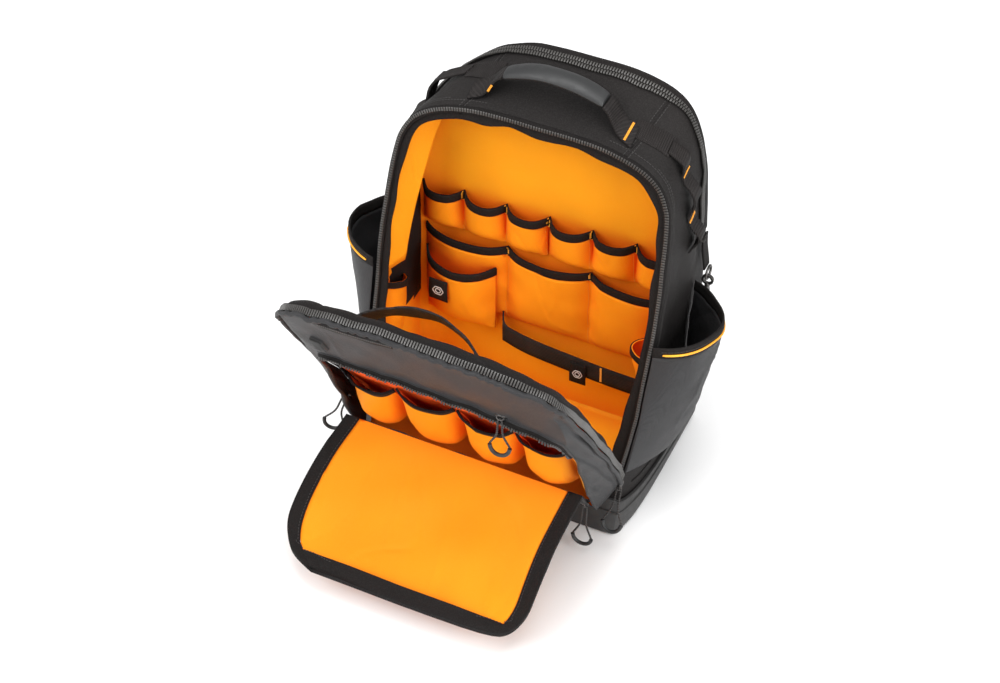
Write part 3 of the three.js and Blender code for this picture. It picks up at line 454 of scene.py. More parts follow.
pull_axes = {}
for label, (top, bottom, facing) in PULLS.items():
    top, bottom, facing = Vector(top), Vector(bottom), Vector(facing)
    down = (bottom - top).normalized()
    across = down.cross(facing).normalized()
    pull_axes[label] = (top * MM, down, across)
    near_side, far_side = (half_pull(top, bottom, down, way) for way in (across, -across))
    route = [*near_side, top, *reversed(far_side)]
    line = smooth_line([p * MM for p in route], 5)
    curve = bpy.data.curves.new(f"{label}_pull_cord", "CURVE")
    curve.dimensions = "3D"
    curve.bevel_depth = CORD_DIAMETER / 2
    curve.bevel_resolution = 3
    curve.use_fill_caps = True
    spline = curve.splines.new("POLY")
    spline.points.add(len(line) - 1)
    for point, place in zip(spline.points, line):
        point.co = (*place, 1)
    cord = bpy.data.objects.new(f"{label}_pull_cord", curve)
    scene.collection.objects.link(cord)
    curve.materials.append(CORD)
    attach(cord, "root")
    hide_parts(f"pull_cord_{label}")
    bow = refined(f"pull_bow_{label}", GRIP, "grip_rubber", levels=2, ending="_moulded")
    length = sum((b - a).length for a, b in zip(line, line[1:]))
    print(label, "cord is", round(length * 1000), "mm long")

# %% [markdown]
# ## The cloth pieces
#
# Every sewn piece of the model gets its smooth copy here, with the finish that the photo shows:
# black-grey cloth outside, a tape binding on every rim, orange lining inside and a redder orange
# down in the tray's pockets.

# %% Sew the cloth pieces
SEWN = [
    (BLACK_CLOTH, "fabric", 3, ["body_shell"]),
    (ORANGE, "lining", 3, ["lining"]),
    (POCKET_ORANGE, "lining", 3, ["pocket_row_upper_left", "pocket_row_upper_right",
                                  "pocket_row_middle", "pocket_low",
                                  "wall_pocket_left", "wall_pocket_right"]),
    (COATED_CLOTH, "fabric", 3, ["door_tray", "tray_base",
                                 "side_pocket_left", "side_pocket_right"]),
    (TAPE, "tape", 3, ["front_frame", "door_facing"]),
    (TAPE, "tape", 2, ["rear_zip", "front_zip", "door_zip", "pocket_row_upper_binding",
                       "pocket_row_middle_binding", "pocket_low_binding", "pocket_tag", "strap_tag",
                       "side_pocket_binding_left", "side_pocket_binding_right", "hook_tab"]),
    (DEEP_ORANGE, "deep_lining", 3, ["door_board"]),
    (DEEP_ORANGE, "deep_lining", 3, [f"tool_pocket_{i}" for i in (1, 2, 3, 4)]),
    (TAPE, "tape", 2, [f"tool_pocket_binding_{i}" for i in (1, 2, 3, 4)]),
    (WEBBING, "webbing", 2, ["tool_strap", "door_loop"]),
    (WEBBING_ACROSS, "webbing", 2, ["side_webbing_left", "side_webbing_right",
                                    "strap_webbing_left", "strap_webbing_right"]),
    (WEBBING, "webbing", 2, ["handle_webbing_left", "handle_webbing_right"]),
    (BOOT, "moulded_base", 3, ["base_boot"]),
    (GRIP, "grip_rubber", 3, ["handle_grip"]),
    (DARK_METAL, "dark_metal", 2, ["hook_ring", "snap_hook"]),
    (MESH_PAD, "padding", 2, ["back_panel", "shoulder_strap_left", "shoulder_strap_right"]),
    (ORANGE, "lining", 3, ["wall_panel_left"]),
    (FLAP_ORANGE, "lining", 3, ["front_flap"]),
    (TAPE, "tape", 2, ["flap_binding"]),
]
sewn = {}
for material, slot, levels, names in SEWN:
    for node in names:
        sewn[node] = refined(node, material, slot, levels)
print(len(sewn), "pieces,", sum(len(piece.data.polygons) for piece in sewn.values()), "faces")

# %% [markdown]
# ## The bag's outline, for the trim
#
# Zips, seams and piping follow the bag's shape. Its outline is a short table of half widths over
# the height, narrower at the front than at the back, so a point on the cloth can be worked out from
# a share of the height and a share of the depth. The door has two axes of its own.

# %% Points on the body and on the door
HALF_WIDTH = 165
BASE_Z = 3.2
BACK_Y = 130
FRONT_TOP = 439
OUTLINE = (
    (0, 0.93, 1.018), (0.18, 0.945, 1.01), (0.31, 0.985, 1), (0.47, 0.995, 0.992), (0.63, 1, 0.985),
    (0.76, 0.976, 0.97), (0.85, 0.958, 0.87), (0.895, 0.93, 0.79), (0.94, 0.855, 0.69),
    (0.972, 0.715, 0.58), (0.993, 0.515, 0.4), (1, 0.29, 0.22))
heights, front_shares, rear_shares = zip(*OUTLINE)


def smoothstep(value, low, high):
    t = min(max((value - low) / (high - low), 0), 1)
    return t * t * (3 - 2 * t)


def front_y(z):
    return -81.5 + 0.277 * z


def top_height(depth):
    rise = 0.85 * depth / 0.78 if depth < 0.78 else 0.85 + 0.15 * (depth - 0.78) / 0.22
    return FRONT_TOP + 35 * rise


def half_width(height, depth):
    early = 1 - (1 - depth) ** (10 - 9 * smoothstep(height, 0.1, 0.4))
    front, rear = np.interp(height, heights, front_shares), np.interp(height, heights, rear_shares)
    swell = 3 * math.sin(math.pi * depth) * math.sin(math.pi * height)
    return (front + (rear - front) * early) * HALF_WIDTH + swell


def body_point(side, height, depth, outward=1.0):
    z = BASE_Z + height * (top_height(depth) - BASE_Z)
    front = front_y(z) + 2.9
    x = side * half_width(height, depth) + 24 * depth * smoothstep(height, 0.77, 0.97)
    away = Vector((x, 0, (z - 250) * 0.6)).normalized() * outward
    return (Vector((x, front + (BACK_Y - front) * depth, z)) + away) * MM


DOOR_HINGE = Vector((0, -61.09, 78))
UP_DOOR = Vector((0, -0.5373, 0.8434))
OFF_DOOR = Vector((0, -0.8434, -0.5373))


def door_point(x, up, off):
    warp = 4 * max(x, 0) / HALF_WIDTH * up / 374.6
    return (Vector((x, *DOOR_HINGE.yz)) + UP_DOOR * up + OFF_DOOR * (off + warp)) * MM


FRONT_PLANE = math.hypot(1, 0.277)
SILL_HEIGHT = (79 - BASE_Z) / (FRONT_TOP - BASE_Z)
arch_heights = [SILL_HEIGHT, *(h for h in heights if BASE_Z + h * (FRONT_TOP - BASE_Z) > 84)]
arch_half = [(half_width(h, 0), BASE_Z + h * (FRONT_TOP - BASE_Z)) for h in arch_heights]
ARCH = [(-x, z) for x, z in arch_half] + [(0, FRONT_TOP)] + [(x, z) for x, z in reversed(arch_half)]


def spread(line, amount):
    """Moves each point of a flat line square to it; positive is away from the middle"""
    moved = []
    for i, (x, z) in enumerate(line):
        (x0, z0), (x1, z1) = line[max(i - 1, 0)], line[min(i + 1, len(line) - 1)]
        square = Vector((z0 - z1, x1 - x0)).normalized()
        moved.append((x + square.x * amount, z + square.y * amount))
    return moved


def front_point(x, z, off):
    return Vector((x, front_y(z) - off / FRONT_PLANE, z + off * 0.277 / FRONT_PLANE)) * MM


print("the front arch is", round(2 * max(x for x, z in ARCH)), "mm wide")

# %% [markdown]
# ## Threads, teeth and tapes
#
# Trim is many small copies laid on cloth. Each helper walks along a line, finds the nearest point
# of the cloth with a BVH tree, and builds its small solid there: a capsule for a stitch, a wedge
# for a zip tooth, a round tube for piping. They are real meshes, so they catch the light.

# %% Lines laid on cloth
def tree_of(*pieces):
    points, faces = [], []
    for piece in pieces:
        first = len(points)
        points += [v.co.copy() for v in piece.data.vertices]
        faces += [[first + i for i in face.vertices] for face in piece.data.polygons]
    return BVHTree.FromPolygons(points, faces)


def evenly(line, pitch):
    """Points at an even pitch along a line, each with the line's direction there"""
    lengths = [0]
    for a, b in zip(line, line[1:]):
        lengths.append(lengths[-1] + (b - a).length)
    count = max(int(lengths[-1] / pitch), 1)
    places = []
    span = 0
    for k in range(count + 1):
        reach = lengths[-1] * k / count
        while span < len(line) - 2 and lengths[span + 1] < reach:
            span += 1
        a, b = line[span], line[span + 1]
        share = (reach - lengths[span]) / max(lengths[span + 1] - lengths[span], 1e-9)
        places.append((a.lerp(b, share), (b - a).normalized()))
    return places


def laid(tree, line, pitch, lift=0.0):
    """The line's even points moved onto the cloth: place, direction and the way out of the cloth"""
    found = []
    for point, way in evenly(line, pitch):
        place, out = tree.find_nearest(point)[:2]
        found.append((place + out * lift, way, out))
    return found


print("lines can be laid on cloth")

# %% [markdown]
# Every small piece is one mesh made of many copies. It gets its material here, and the
# group of cloth that it will be bent with later: the body, the door or the flap.

# %% A piece of trim, and the faces of a tube
cloth_groups = {}


def trim(name, points, faces, material, slot, group, smooth=40):
    piece = plain_mesh(name, points, faces)
    finished(piece, material, slot, smooth=smooth)
    cloth_groups[name] = group
    return piece


def rings_to_faces(rings, sides, first):
    """Faces of a tube whose rings follow each other, closed at both ends"""
    faces = []
    for r in range(rings - 1):
        a, b = first + r * sides, first + (r + 1) * sides
        faces += [(a + i, a + (i + 1) % sides, b + (i + 1) % sides, b + i) for i in range(sides)]
    last = first + (rings - 1) * sides
    return faces + [tuple(range(first, first + sides))[::-1], tuple(range(last, last + sides))]


print("trim can be built")


# %% [markdown]
# A thread that shows between two holes is a short capsule: a tube of six sides with tapered ends.
# Piping is a longer tube. Its rings are turned as little as possible from one to the next, so that
# it doesn't twist.

# %% Threads and piping
def capsules(name, threads, radius, material, slot, group, sides=6):
    points, faces = [], []
    for a, b in threads:
        way = (b - a).normalized()
        side = way.orthogonal().normalized()
        up = way.cross(side)
        first = len(points)
        for end, shift, share in ((a, 0, 0.5), (a, 0.7, 1), (b, -0.7, 1), (b, 0, 0.5)):
            for i in range(sides):
                turn = 2 * math.pi * i / sides
                ring = (side * math.cos(turn) + up * math.sin(turn)) * radius * share
                points.append(end + way * shift * radius + ring)
        faces += rings_to_faces(4, sides, first)
    return trim(name, points, faces, material, slot, group)


def stitches(name, tree, lines, material, slot, group, pitch=3.4, length=2.4, radius=0.42):
    threads = []
    for line in lines:
        for place, way, out in laid(tree, line, pitch * MM, 0.12 * MM):
            way = (way - out * way.dot(out)).normalized() * length * MM / 2
            threads.append((place - way, place + way))
    return capsules(name, threads, radius * MM, material, slot, group)


def tube(name, line, radius, material, slot, group, sides=8):
    points, faces = [], []
    side = (line[1] - line[0]).orthogonal().normalized()
    for i, point in enumerate(line):
        way = (line[min(i + 1, len(line) - 1)] - line[max(i - 1, 0)]).normalized()
        side = (side - way * side.dot(way)).normalized()
        up = way.cross(side)
        share = 0.6 if i in (0, len(line) - 1) else 1
        for k in range(sides):
            turn = 2 * math.pi * k / sides
            points.append(point + (side * math.cos(turn) + up * math.sin(turn)) * radius * share)
    faces = rings_to_faces(len(line), sides, 0)
    return trim(name, points, faces, material, slot, group, smooth=60)


print("threads and piping can be built")


# %% [markdown]
# A zip tooth is a small block with a narrower top. A bartack is a row of tight threads across a
# seam, dense enough to read as one bar.

# %% Zip teeth and bartacks
def teeth(name, tree, line, group, pitch=3.0, reach=4.0, rise=1.3, shift=0.0, lift=0.0, rows=(0,)):
    """Rows of moulded teeth along a line; two rows mesh, each tooth between two of the other row"""
    points, faces = [], []
    for k, (place, way, out) in enumerate(laid(tree, line, pitch / len(rows) * MM, lift * MM)):
        across = out.cross(way).normalized()
        row = rows[k % len(rows)]
        centre = place + across * row * shift * MM
        first = len(points)
        for level, share in ((-0.3, 1), (0.7, 1), (1, 0.6)):
            for a, b in ((-1, -1), (1, -1), (1, 1), (-1, 1)):
                points.append(centre + across * a * reach / 2 * share * MM
                              + way * b * pitch * 0.3 * share * MM + out * rise * level * MM)
        faces += rings_to_faces(3, 4, first)
    return trim(name, points, faces, TEETH, "zip_chain", group)


def bartacks(name, tree, bars, material, group, pitch=1.05, width=2.6, radius=0.5, slot="lining"):
    """Each bar is a start and an end; tight threads cross it from side to side"""
    threads = []
    for start, end in bars:
        for place, way, out in laid(tree, [start, end], pitch * MM, 0.15 * MM):
            across = out.cross(way).normalized() * width * MM / 2
            threads.append((place - across, place + across))
    return capsules(name, threads, radius * MM, material, slot, group)


TEETH = moulded("zip_teeth", rgb(0.05, 0.047, 0.044), 0.3)
print("trim helpers are ready")

# %% [markdown]
# ## The zips
#
# The main zip's coil runs round the front edge of the body, and its other half runs round the
# door. The rear compartment is closed, so its two rows of teeth mesh. Each chain is laid along the
# same line as its tape in the model.

# %% Zip teeth
front_line = [front_point(x, z, 2.6) for x, z in spread(ARCH, -3.6)]
front_line = smooth_line(front_line, 6)
front_teeth = teeth("front_zip_teeth", tree_of(sewn["front_zip"]), front_line, "body")

REAR_DEPTH = 0.815
rear_heights = [0.3, 0.4, *(h for h in heights if h > 0.45)]
rear_line = [body_point(-1, h, REAR_DEPTH, 4) for h in rear_heights]
rear_line.append(Vector((24 * REAR_DEPTH, rear_line[-1].y / MM, top_height(REAR_DEPTH) + 4)) * MM)
rear_line += [body_point(1, h, REAR_DEPTH, 4) for h in reversed(rear_heights)]
rear_line = smooth_line(rear_line, 6)
rear_teeth = teeth("rear_zip_teeth", tree_of(sewn["rear_zip"]), rear_line, "body",
                   pitch=3.2, reach=4.4, shift=2.7, rows=(-1, 1))

door_arch = [(x, (z - 79) * FRONT_PLANE + 1) for x, z in ARCH]
door_line = smooth_line([door_point(x, d, 1.0) for x, d in spread(door_arch, 2.5)], 6)
door_teeth = teeth("door_zip_teeth", tree_of(sewn["door_zip"]), door_line, "door",
                   reach=7, rise=1.4)
TOOTH_FACES = 10
print("teeth:", *(len(piece.data.polygons) // TOOTH_FACES
                  for piece in (front_teeth, rear_teeth, door_teeth)))

# %% [markdown]
# ## Bartacks
#
# Where a pocket's seam meets its binding, a dense zigzag in orange thread holds the load. The same
# bars lock the handle's webbing and the attachment webbing on the side. Short threads across each
# bar show as one bright line from far off.

# %% Orange bartacks
seam_places = [-156 + 310 / 6 * i for i in range(1, 6)]
upper_bars = [(Vector((x, 78, 280.5)) * MM, Vector((x, 78, 271.5)) * MM) for x in seam_places]
middle_bars = [(Vector((x, 78, 219.5)) * MM, Vector((x, 78, 210.5)) * MM)
               for x in (-153 + 307 / 3, -153 + 307 * 2 / 3)]
for row, bars in (("upper", upper_bars), ("middle", middle_bars)):
    row_tree = tree_of(sewn[f"pocket_row_{row}_binding"])
    bartacks(f"{row}_row_bartacks", row_tree, bars, THREAD, "body")
bartacks("tool_strap_bartack", tree_of(sewn["tool_strap"]),
         [(Vector((80, 50, 108)) * MM, Vector((80, 50, 87)) * MM)], THREAD, "body")
handle_bars = [
    (Vector((91.5, 51, 444)) * MM, Vector((92.5, 72, 450)) * MM),
    (Vector((-63.1, 53, 452.7)) * MM, Vector((-59.3, 54, 460.5)) * MM)]
bartacks("handle_bartacks", tree_of(sewn["handle_webbing_left"], sewn["handle_webbing_right"]),
         handle_bars, THREAD, "body")


WEBBING_ENDS = {1: (0.95, 0.68, 0.38, 0.5), -1: (0.96, 0.68, 0.55, 0.62)}


def webbing_bar(side, row):
    """A bar across the side webbing, at a share of its length"""
    top, foot, depth_top, depth_foot = WEBBING_ENDS[side]
    height, depth = top + (foot - top) * row, depth_top + (depth_foot - depth_top) * row
    return [body_point(side, height, depth + shift, 6) for shift in (-0.066, 0.066)]


BAR_ROWS = ((1, (0.22, 0.68)), (-1, (0.44, 0.8)))
side_bars = [webbing_bar(side, row) for side, rows in BAR_ROWS for row in rows]
bartacks("side_webbing_bartacks", tree_of(sewn["side_webbing_left"], sewn["side_webbing_right"]),
         side_bars, THREAD, "body")
print("bars:", len(upper_bars) + len(middle_bars) + len(handle_bars) + len(side_bars) + 1)

# %% [markdown]
# ## Two colours in one cloth
#
# The tool pockets are yellow-orange outside with a redder inside, the tray's floor is lined in
# orange, and the left wall is black behind its loose panel: partly black cloth, partly painted
# shadow of the panel. One mesh can carry two materials, so each face is given the second one by
# where it is or by which way it looks.

# %% Line the insides
def lined(piece, material, middle):
    """Gives the second material to the faces that look towards the middle of their hollow"""
    piece.data.materials.append(material)
    count = 0
    for face in piece.data.polygons:
        away = (face.center - middle(face.center)).normalized()
        if face.normal.dot(away) < -0.25:
            face.material_index = 1
            count += 1
    return count


def on_door_axis(x, off):
    """The point of the door's own middle line that is level with a place on the door"""
    def middle(place):
        up = (place / MM - DOOR_HINGE).dot(UP_DOOR)
        return door_point(x, up, off)
    return middle


TOOL_POCKETS = ((-132, -76), (-72, -4), (0, 64), (68, 131))
for number, (start, end) in enumerate(TOOL_POCKETS, 1):
    pocket = sewn[f"tool_pocket_{number}"]
    pocket.data.materials[0] = FLAP_ORANGE
    lined(pocket, DEEP_ORANGE, on_door_axis((start + end) / 2, 6))
lined(sewn["tray_base"], FLAP_ORANGE, lambda place: door_point(0, 60, 18))
board = sewn["door_board"].data
board.materials.append(ORANGE)
for face in board.polygons:
    face.material_index = int(face.normal.dot(OFF_DOOR) < -0.3)

# Black cloth on the left wall behind the loose panel, partly painted shadow of the panel.
BLACK_WALL_AND_PAINTED_SHADOW = (112, 392)
PANEL_REACH = 36
wall = sewn["lining"].data
wall.materials.append(BLACK_CLOTH)
for face in wall.polygons:
    x, y, z = face.center / MM
    on_left_wall = x < -110 and abs(face.normal.x) > 0.5
    if on_left_wall and y > front_y(z) + PANEL_REACH and BLACK_WALL_AND_PAINTED_SHADOW[0] < z < BLACK_WALL_AND_PAINTED_SHADOW[1]:
        face.material_index = 1
print("lined:", sum(len(piece.data.materials) > 1 for piece in sewn.values()), "pieces")

# %% [markdown]
# ## Seams, piping and the side pockets
#
# The top is sewn from panels: two seams run back from the front edge past the handle, and a short
# one crosses to it. A seam is a low ridge where two layers turn in, with a row of stitches along
# each side. The side pockets have a thin orange piping in the seam under their binding.

# %% Body seams and pocket piping
def mm_line(*points):
    return [Vector(point) * MM for point in points]


def laid_line(tree, line, pitch, lift):
    return [place for place, way, out in laid(tree, line, pitch * MM, lift * MM)]


shell_tree = tree_of(sewn["body_shell"])
TOP_SEAMS = [
    mm_line((-88, 40, 440), (-80, 62, 449), (-77, 92, 458), (-75, 111, 463)),
    mm_line((99, 38, 436), (106, 65, 444), (111, 91, 453), (115, 110, 459)),
    mm_line((95, 66, 446), (104, 62, 444)),
]
for number, seam in enumerate(TOP_SEAMS):
    ridge = laid_line(shell_tree, smooth_line(seam, 6), 3, 0.2)
    tube(f"top_seam_{number}", ridge, 0.9 * MM, BLACK_CLOTH, "fabric", "body")
beside = [[point + Vector((shift, 0, 0)) * MM for point in smooth_line(seam, 4)]
          for seam in TOP_SEAMS[:2] for shift in (-3.2, 3.2)]
stitches("top_seam_stitches", shell_tree, beside, BLACK_THREAD, "fabric", "body")

arch_rows = [[front_point(x, z, -shift) for x, z in spread(ARCH, 3)] for shift in (9, 12)]
stitches("front_edge_stitches", shell_tree, [smooth_line(row, 4) for row in arch_rows],
         BLACK_THREAD, "fabric", "body", pitch=3.6)
ROUND_THE_FRONT = ((-1, (0.95, 0.6, 0.3, 0.08)), (1, (0.08, 0.3, 0.6, 0.95)))
base_seam = [body_point(side, 0.135 - 0.05 * depth, depth, 5)
             for side, depths in ROUND_THE_FRONT for depth in depths]
tube("base_panel_seam", laid_line(shell_tree, smooth_line(base_seam, 6), 5, 0.2), 1.1 * MM,
     TAPE, "tape", "body")

SIDE_RIM = ((-24, 0.02), (-17, 0.4), (0, 0.78), (22, 1),
            (48, 0.96), (72, 0.66), (88, 0.28), (94, 0.02))
for label, side in (("left", -1), ("right", 1)):
    rim_tree = tree_of(sewn[f"side_pocket_binding_{label}"])
    rim = smooth_line([Vector((side * (176 + 52 * out), y, 235.5)) * MM for y, out in SIDE_RIM], 5)
    tube(f"side_pocket_piping_{label}", laid_line(rim_tree, rim, 3, 0.5), 1.25 * MM,
         PIPING, "lining", "body")
    upper = [point + Vector((0, 0, 4)) * MM for point in rim]
    stitches(f"side_pocket_stitches_{label}", rim_tree, [upper], BLACK_THREAD, "tape", "body")
print("seams:", len(TOP_SEAMS) + 2, "and", len(SIDE_RIM), "points along each pocket rim")

# %% [markdown]
# ## The tray's edges
#
# The tray's cloth is piped where it meets the door's zip and again along its lip. Both ridges catch
# a bright line of light down the right gusset. The lip's line repeats the table that shapes it in
# the model: across, up and out for each point from the hinge to the middle of the top.

# %% Tray piping, door tab and zip pocket
LIP = ((0.86, 0.015, 1), (0.875, 0.3, 0.9), (0.875, 0.56, 0.68), (0.87, 0.8, 0.5),
       (0.85, 0.93, 0.44), (0.8, 0.975, 0.425), (0.73, 0.99, 0.425), (0.63, 1, 0.425),
       (0.51, 1, 0.425), (0.37, 1, 0.425), (0.19, 1, 0.425))
LIP_REACH = 257
TRAY_DEPTH = 44


def lip_point(side, across, up, out):
    x = side * across * HALF_WIDTH + 7 * up
    return door_point(x, up * LIP_REACH, out * TRAY_DEPTH + 4 * up * x / HALF_WIDTH)


def round_the_lip(first, steps):
    """The lip's line from the left to the right, from the table's given row on"""
    rows = LIP[first:]
    left, right = ([lip_point(side, *row) for row in rows] for side in (-1, 1))
    return smooth_line(left + right[::-1], steps)


tray_tree = tree_of(sewn["door_tray"])
lip_line = round_the_lip(0, 5)
tube("tray_lip_piping", lip_line, 2.2 * MM, COATED_CLOTH, "fabric", "door")
zip_edge = smooth_line([door_point(x, d, 9) for x, d in spread(door_arch, 1)], 5)
tube("tray_zip_piping", laid_line(tray_tree, zip_edge, 4, 1.2), 2.7 * MM,
     COATED_CLOTH, "fabric", "door")
half = len(lip_line) // 2
tray_middle = door_point(0, 120, 12)
inner_lip = [point + (tray_middle - point).normalized() * 2.6 * MM for point in lip_line[half:]]
tube("tray_lip_edge", inner_lip, 0.9 * MM, PIPING, "lining", "door")
gusset_row = smooth_line([door_point(x, d, 13) for x, d in spread(door_arch, 2)], 4)
stitches("tray_stitches", tray_tree, [gusset_row], BLACK_THREAD, "fabric", "door", pitch=3.8)


def strip(name, tree, line, width, rise, material, slot, group, lift=0.2):
    """A flat tape laid along a line"""
    points, faces = [], []
    rows = laid(tree, line, 3 * MM, lift * MM)
    for place, way, out in rows:
        across = out.cross(way).normalized()
        for a, up in ((-1, -0.3), (1, -0.3), (1, 0.6), (0.9, 1), (-0.9, 1), (-1, 0.6)):
            points.append(place + across * a * width / 2 * MM + out * up * rise * MM)
    faces = rings_to_faces(len(rows), 6, 0)
    return trim(name, points, faces, material, slot, group)



LIP_TAPE = 7.5 * MM
TAPE_SECTION = ((-0.1, -0.6), (0.5, -0.7), (1, -0.6), (1.05, 0), (1, 0.6), (0.5, 0.8), (-0.1, 0.6))
CHAIN_CORNER = 4
tape_line = round_the_lip(3, 4)
points = []
for place in tape_line:
    side_share = smoothstep(abs(place.x), 125 * MM, 148 * MM)
    inward = Vector((-math.copysign(1, place.x), 0, 0))
    hang = (OFF_DOOR - UP_DOOR * 0.45) * (1 - side_share) + (inward + OFF_DOOR * 0.6) * side_share
    over = (OFF_DOOR * 0.45 + UP_DOOR) * (1 - side_share) + (OFF_DOOR - inward * 0.6) * side_share
    for along, thick in TAPE_SECTION:
        points.append(place + hang.normalized() * LIP_TAPE * along + over * thick * MM)
tape_faces = rings_to_faces(len(tape_line), len(TAPE_SECTION), 0)
lip_tape = trim("tray_lip_tape", points, tape_faces, TAPE, "tape", "door")
lip_chain = points[CHAIN_CORNER::len(TAPE_SECTION)]
teeth("tray_lip_teeth", tree_of(lip_tape), lip_chain, "door", reach=3.4)
for label, side in (("left", -1), ("right", 1)):
    top, _, depth, _ = WEBBING_ENDS[side]
    run = [body_point(side, top, depth, 2) + Vector((-side, -0.125, 0.4)) * reach * MM
           for reach in (-2, 12, 26, 40)]
    strip(f"side_webbing_top_{label}", shell_tree, run, 22, 1.5, WEBBING_ACROSS, "webbing", "body")
zip_pocket = mm_line((-96, -262, 377), (-55, -265, 378.5), (-16, -266, 380))
strip("zip_pocket_tape", tray_tree, zip_pocket, 11, 0.8, TAPE, "tape", "door")
teeth("zip_pocket_teeth", tray_tree, zip_pocket, "door",
      pitch=2.3, reach=2.8, rise=0.9, shift=0.6, lift=0.9)
TAB_ROWS = 5
tab_base = mm_line((-117.5, -238, 319), (-114.5, -233, 304))
strip("door_tab", tray_tree, tab_base, 17, 3, BOOT, "moulded_base", "door")
tab_ribs = []
for place, way, out in laid(tray_tree, tab_base, 16 / TAB_ROWS * MM, 3.2 * MM):
    across = out.cross(way).normalized() * 7 * MM
    tab_ribs.append((place - across, place + across))
capsules("door_tab_ribs", tab_ribs, 1.1 * MM, BOOT, "moulded_base", "door")
print("the lip's piping has", len(lip_line), "points")

# %% [markdown]
# ## Pocket seams, rims and the flap's stitching
#
# Between two pockets the orange cloth is sewn down to the wall, and the small pockets on the side
# walls have their own black bindings. A line of stitches holds the wide tape on the flap.

# %% Seams and rims inside, stitches on the flap
lining_parts = tree_of(sewn["pocket_row_upper_left"], sewn["pocket_row_upper_right"],
                       sewn["pocket_row_middle"])
pocket_seams = [mm_line((x, 76, 269), (x, 80, 228)) for x in seam_places]
pocket_seams += [mm_line((x, 76, 208), (x, 80, 114)) for x in (-153 + 307 / 3, -153 + 307 * 2 / 3)]
pocket_seams += [mm_line((-152, 84, 228), (150, 84, 228)), mm_line((-150, 84, 114), (150, 84, 114))]
stitches("pocket_seam_stitches", lining_parts, pocket_seams, THREAD, "lining", "body", radius=0.35)


def wall_rim(side, y_from, y_to, top, drop, depth):
    """The rim of a pocket on a side wall"""
    rim = []
    for step in range(11):
        u = step / 10
        y, z = y_from + (y_to - y_from) * u, top - drop * u - 4
        front = front_y(z) + 2.9
        share = (y - front) / (BACK_Y - front)
        reach = half_width((z - BASE_Z) / (top_height(share) - BASE_Z), share) - 5
        inward = 1.2 + depth * math.sin(math.pi * u) ** 0.6
        rim.append(Vector((side * (reach - inward), y, z)) * MM)
    return rim


for label, side, row in (("left", -1, (-17, 36, 205, 30, 14)), ("right", 1, (0, 50, 190, 0, 34))):
    pocket_tree = tree_of(sewn[f"wall_pocket_{label}"])
    line = smooth_line(wall_rim(side, *row), 3)
    strip(f"wall_pocket_rim_{label}", pocket_tree, line, 8, 1.4, TAPE, "tape", "body")

FLAP_ROOT = door_point(0, 67.5, 45.5) / MM


def flap_point(share, across, up):
    wide = (0.975 + 0.025 * min(1, share * 2)) * 145
    start = 1 - 45 / 171
    if share > start:
        wide -= 42 * (1 - math.sqrt(max(1 - ((share - start) / (1 - start)) ** 2, 0)))
    reach = across * wide
    drop = 76 * (share * 1.12 - 0.12 * share ** 3)
    curl = 14 * (abs(reach) / 145) ** 3 * share
    return Vector((reach - 9 * (0.3 + math.sin(math.pi * share)),
                   FLAP_ROOT.y - 1 - 171 * share * 0.94, FLAP_ROOT.z - drop + curl + up)) * MM


FLAP_INNER = 1 - 17 / 145
flap_shares = [0.02, 0.15, 0.3, 0.5, 0.68, 0.78, 0.85, 0.885]
flap_edge = [flap_point(share, -FLAP_INNER - 0.016, 5) for share in flap_shares]
flap_edge += [flap_point(0.918, across, 5) for across in (-0.6, -0.3, 0, 0.3, 0.6)]
flap_edge += [flap_point(share, FLAP_INNER + 0.016, 5) for share in reversed(flap_shares)]
flap_tree = tree_of(sewn["flap_binding"])
stitches("flap_stitches", flap_tree, [smooth_line(flap_edge, 5)],
         BLACK_THREAD, "tape", "flap", pitch=3.6)
print("the flap's tape is stitched along", len(flap_edge), "points")

# %% [markdown]
# ## Sliders, tags and the hook
#
# Each pull hangs from a zip slider: two hourglass plates joined by a bridge, with a bail over the
# top that the cord goes through. It is lofted from one outline at several levels. The two small
# tags inside carry a plain ring in a hexagon, pressed into the tape.

# %% Sliders
SLIDER_OUTLINE = ((-6.5, 2.6), (-4.5, 4.4), (-1, 3.3), (2, 4.4), (5, 5), (6.8, 3.4))
SLIDER_PLATES = (((-1.4, 0.88), (-1.1, 1), (-0.2, 1), (0, 0.9)),
                 ((2.2, 0.9), (2.4, 1), (3.3, 1), (3.7, 0.84)))
SLIDERS = {
    "main_right": ((0, 0.27, 1), (0.55, -0.83, 0)),
    "front_right": ((0, -0.54, 0.84), (0.25, -0.84, -0.4)),
    "front_left": ((0, -0.54, 0.84), (-0.5, -0.84, -0.2)),
    "tray": ((1, 0, 0), (0, -0.84, -0.54)),
}


def slider(label, way, out, group):
    top = pull_axes[label][0]
    way, out = Vector(way).normalized(), Vector(out).normalized()
    across = out.cross(way).normalized()
    out = way.cross(across)
    base = top - out * 5.4 * MM
    outline = [(u, v) for u, v in SLIDER_OUTLINE] + [(u, -v) for u, v in reversed(SLIDER_OUTLINE)]
    points, faces = [], []
    for plate in SLIDER_PLATES:
        first = len(points)
        for level, share in plate:
            points += [base + (way * u * share + across * v * share + out * level) * MM
                       for u, v in outline]
        faces += rings_to_faces(len(plate), len(outline), first)
    body = trim(f"{label}_slider", points, faces, DARK_METAL, "dark_metal", group)
    bail = [base + (way * u + out * w) * MM for u, w in
            ((-4, 2.6), (-3.8, 4.6), (-2.4, 6), (0, 6.6), (2.4, 6), (3.8, 4.6), (4, 2.6))]
    bridge = [base + (way * -2 + out * w) * MM for w in (-0.6, 1, 2.8)]
    tube(f"{label}_bail", smooth_line(bail, 3), 0.8 * MM, DARK_METAL, "dark_metal", group)
    tube(f"{label}_bridge", bridge, 1.6 * MM, DARK_METAL, "dark_metal", group)
    return body


for label, (way, out) in SLIDERS.items():
    slider(label, way, out, "still")
print("sliders:", len(SLIDERS))

# %% Tag marks and hook
PALE_THREAD = moulded("pale_thread", rgb(0.62, 0.60, 0.57), 0.6)


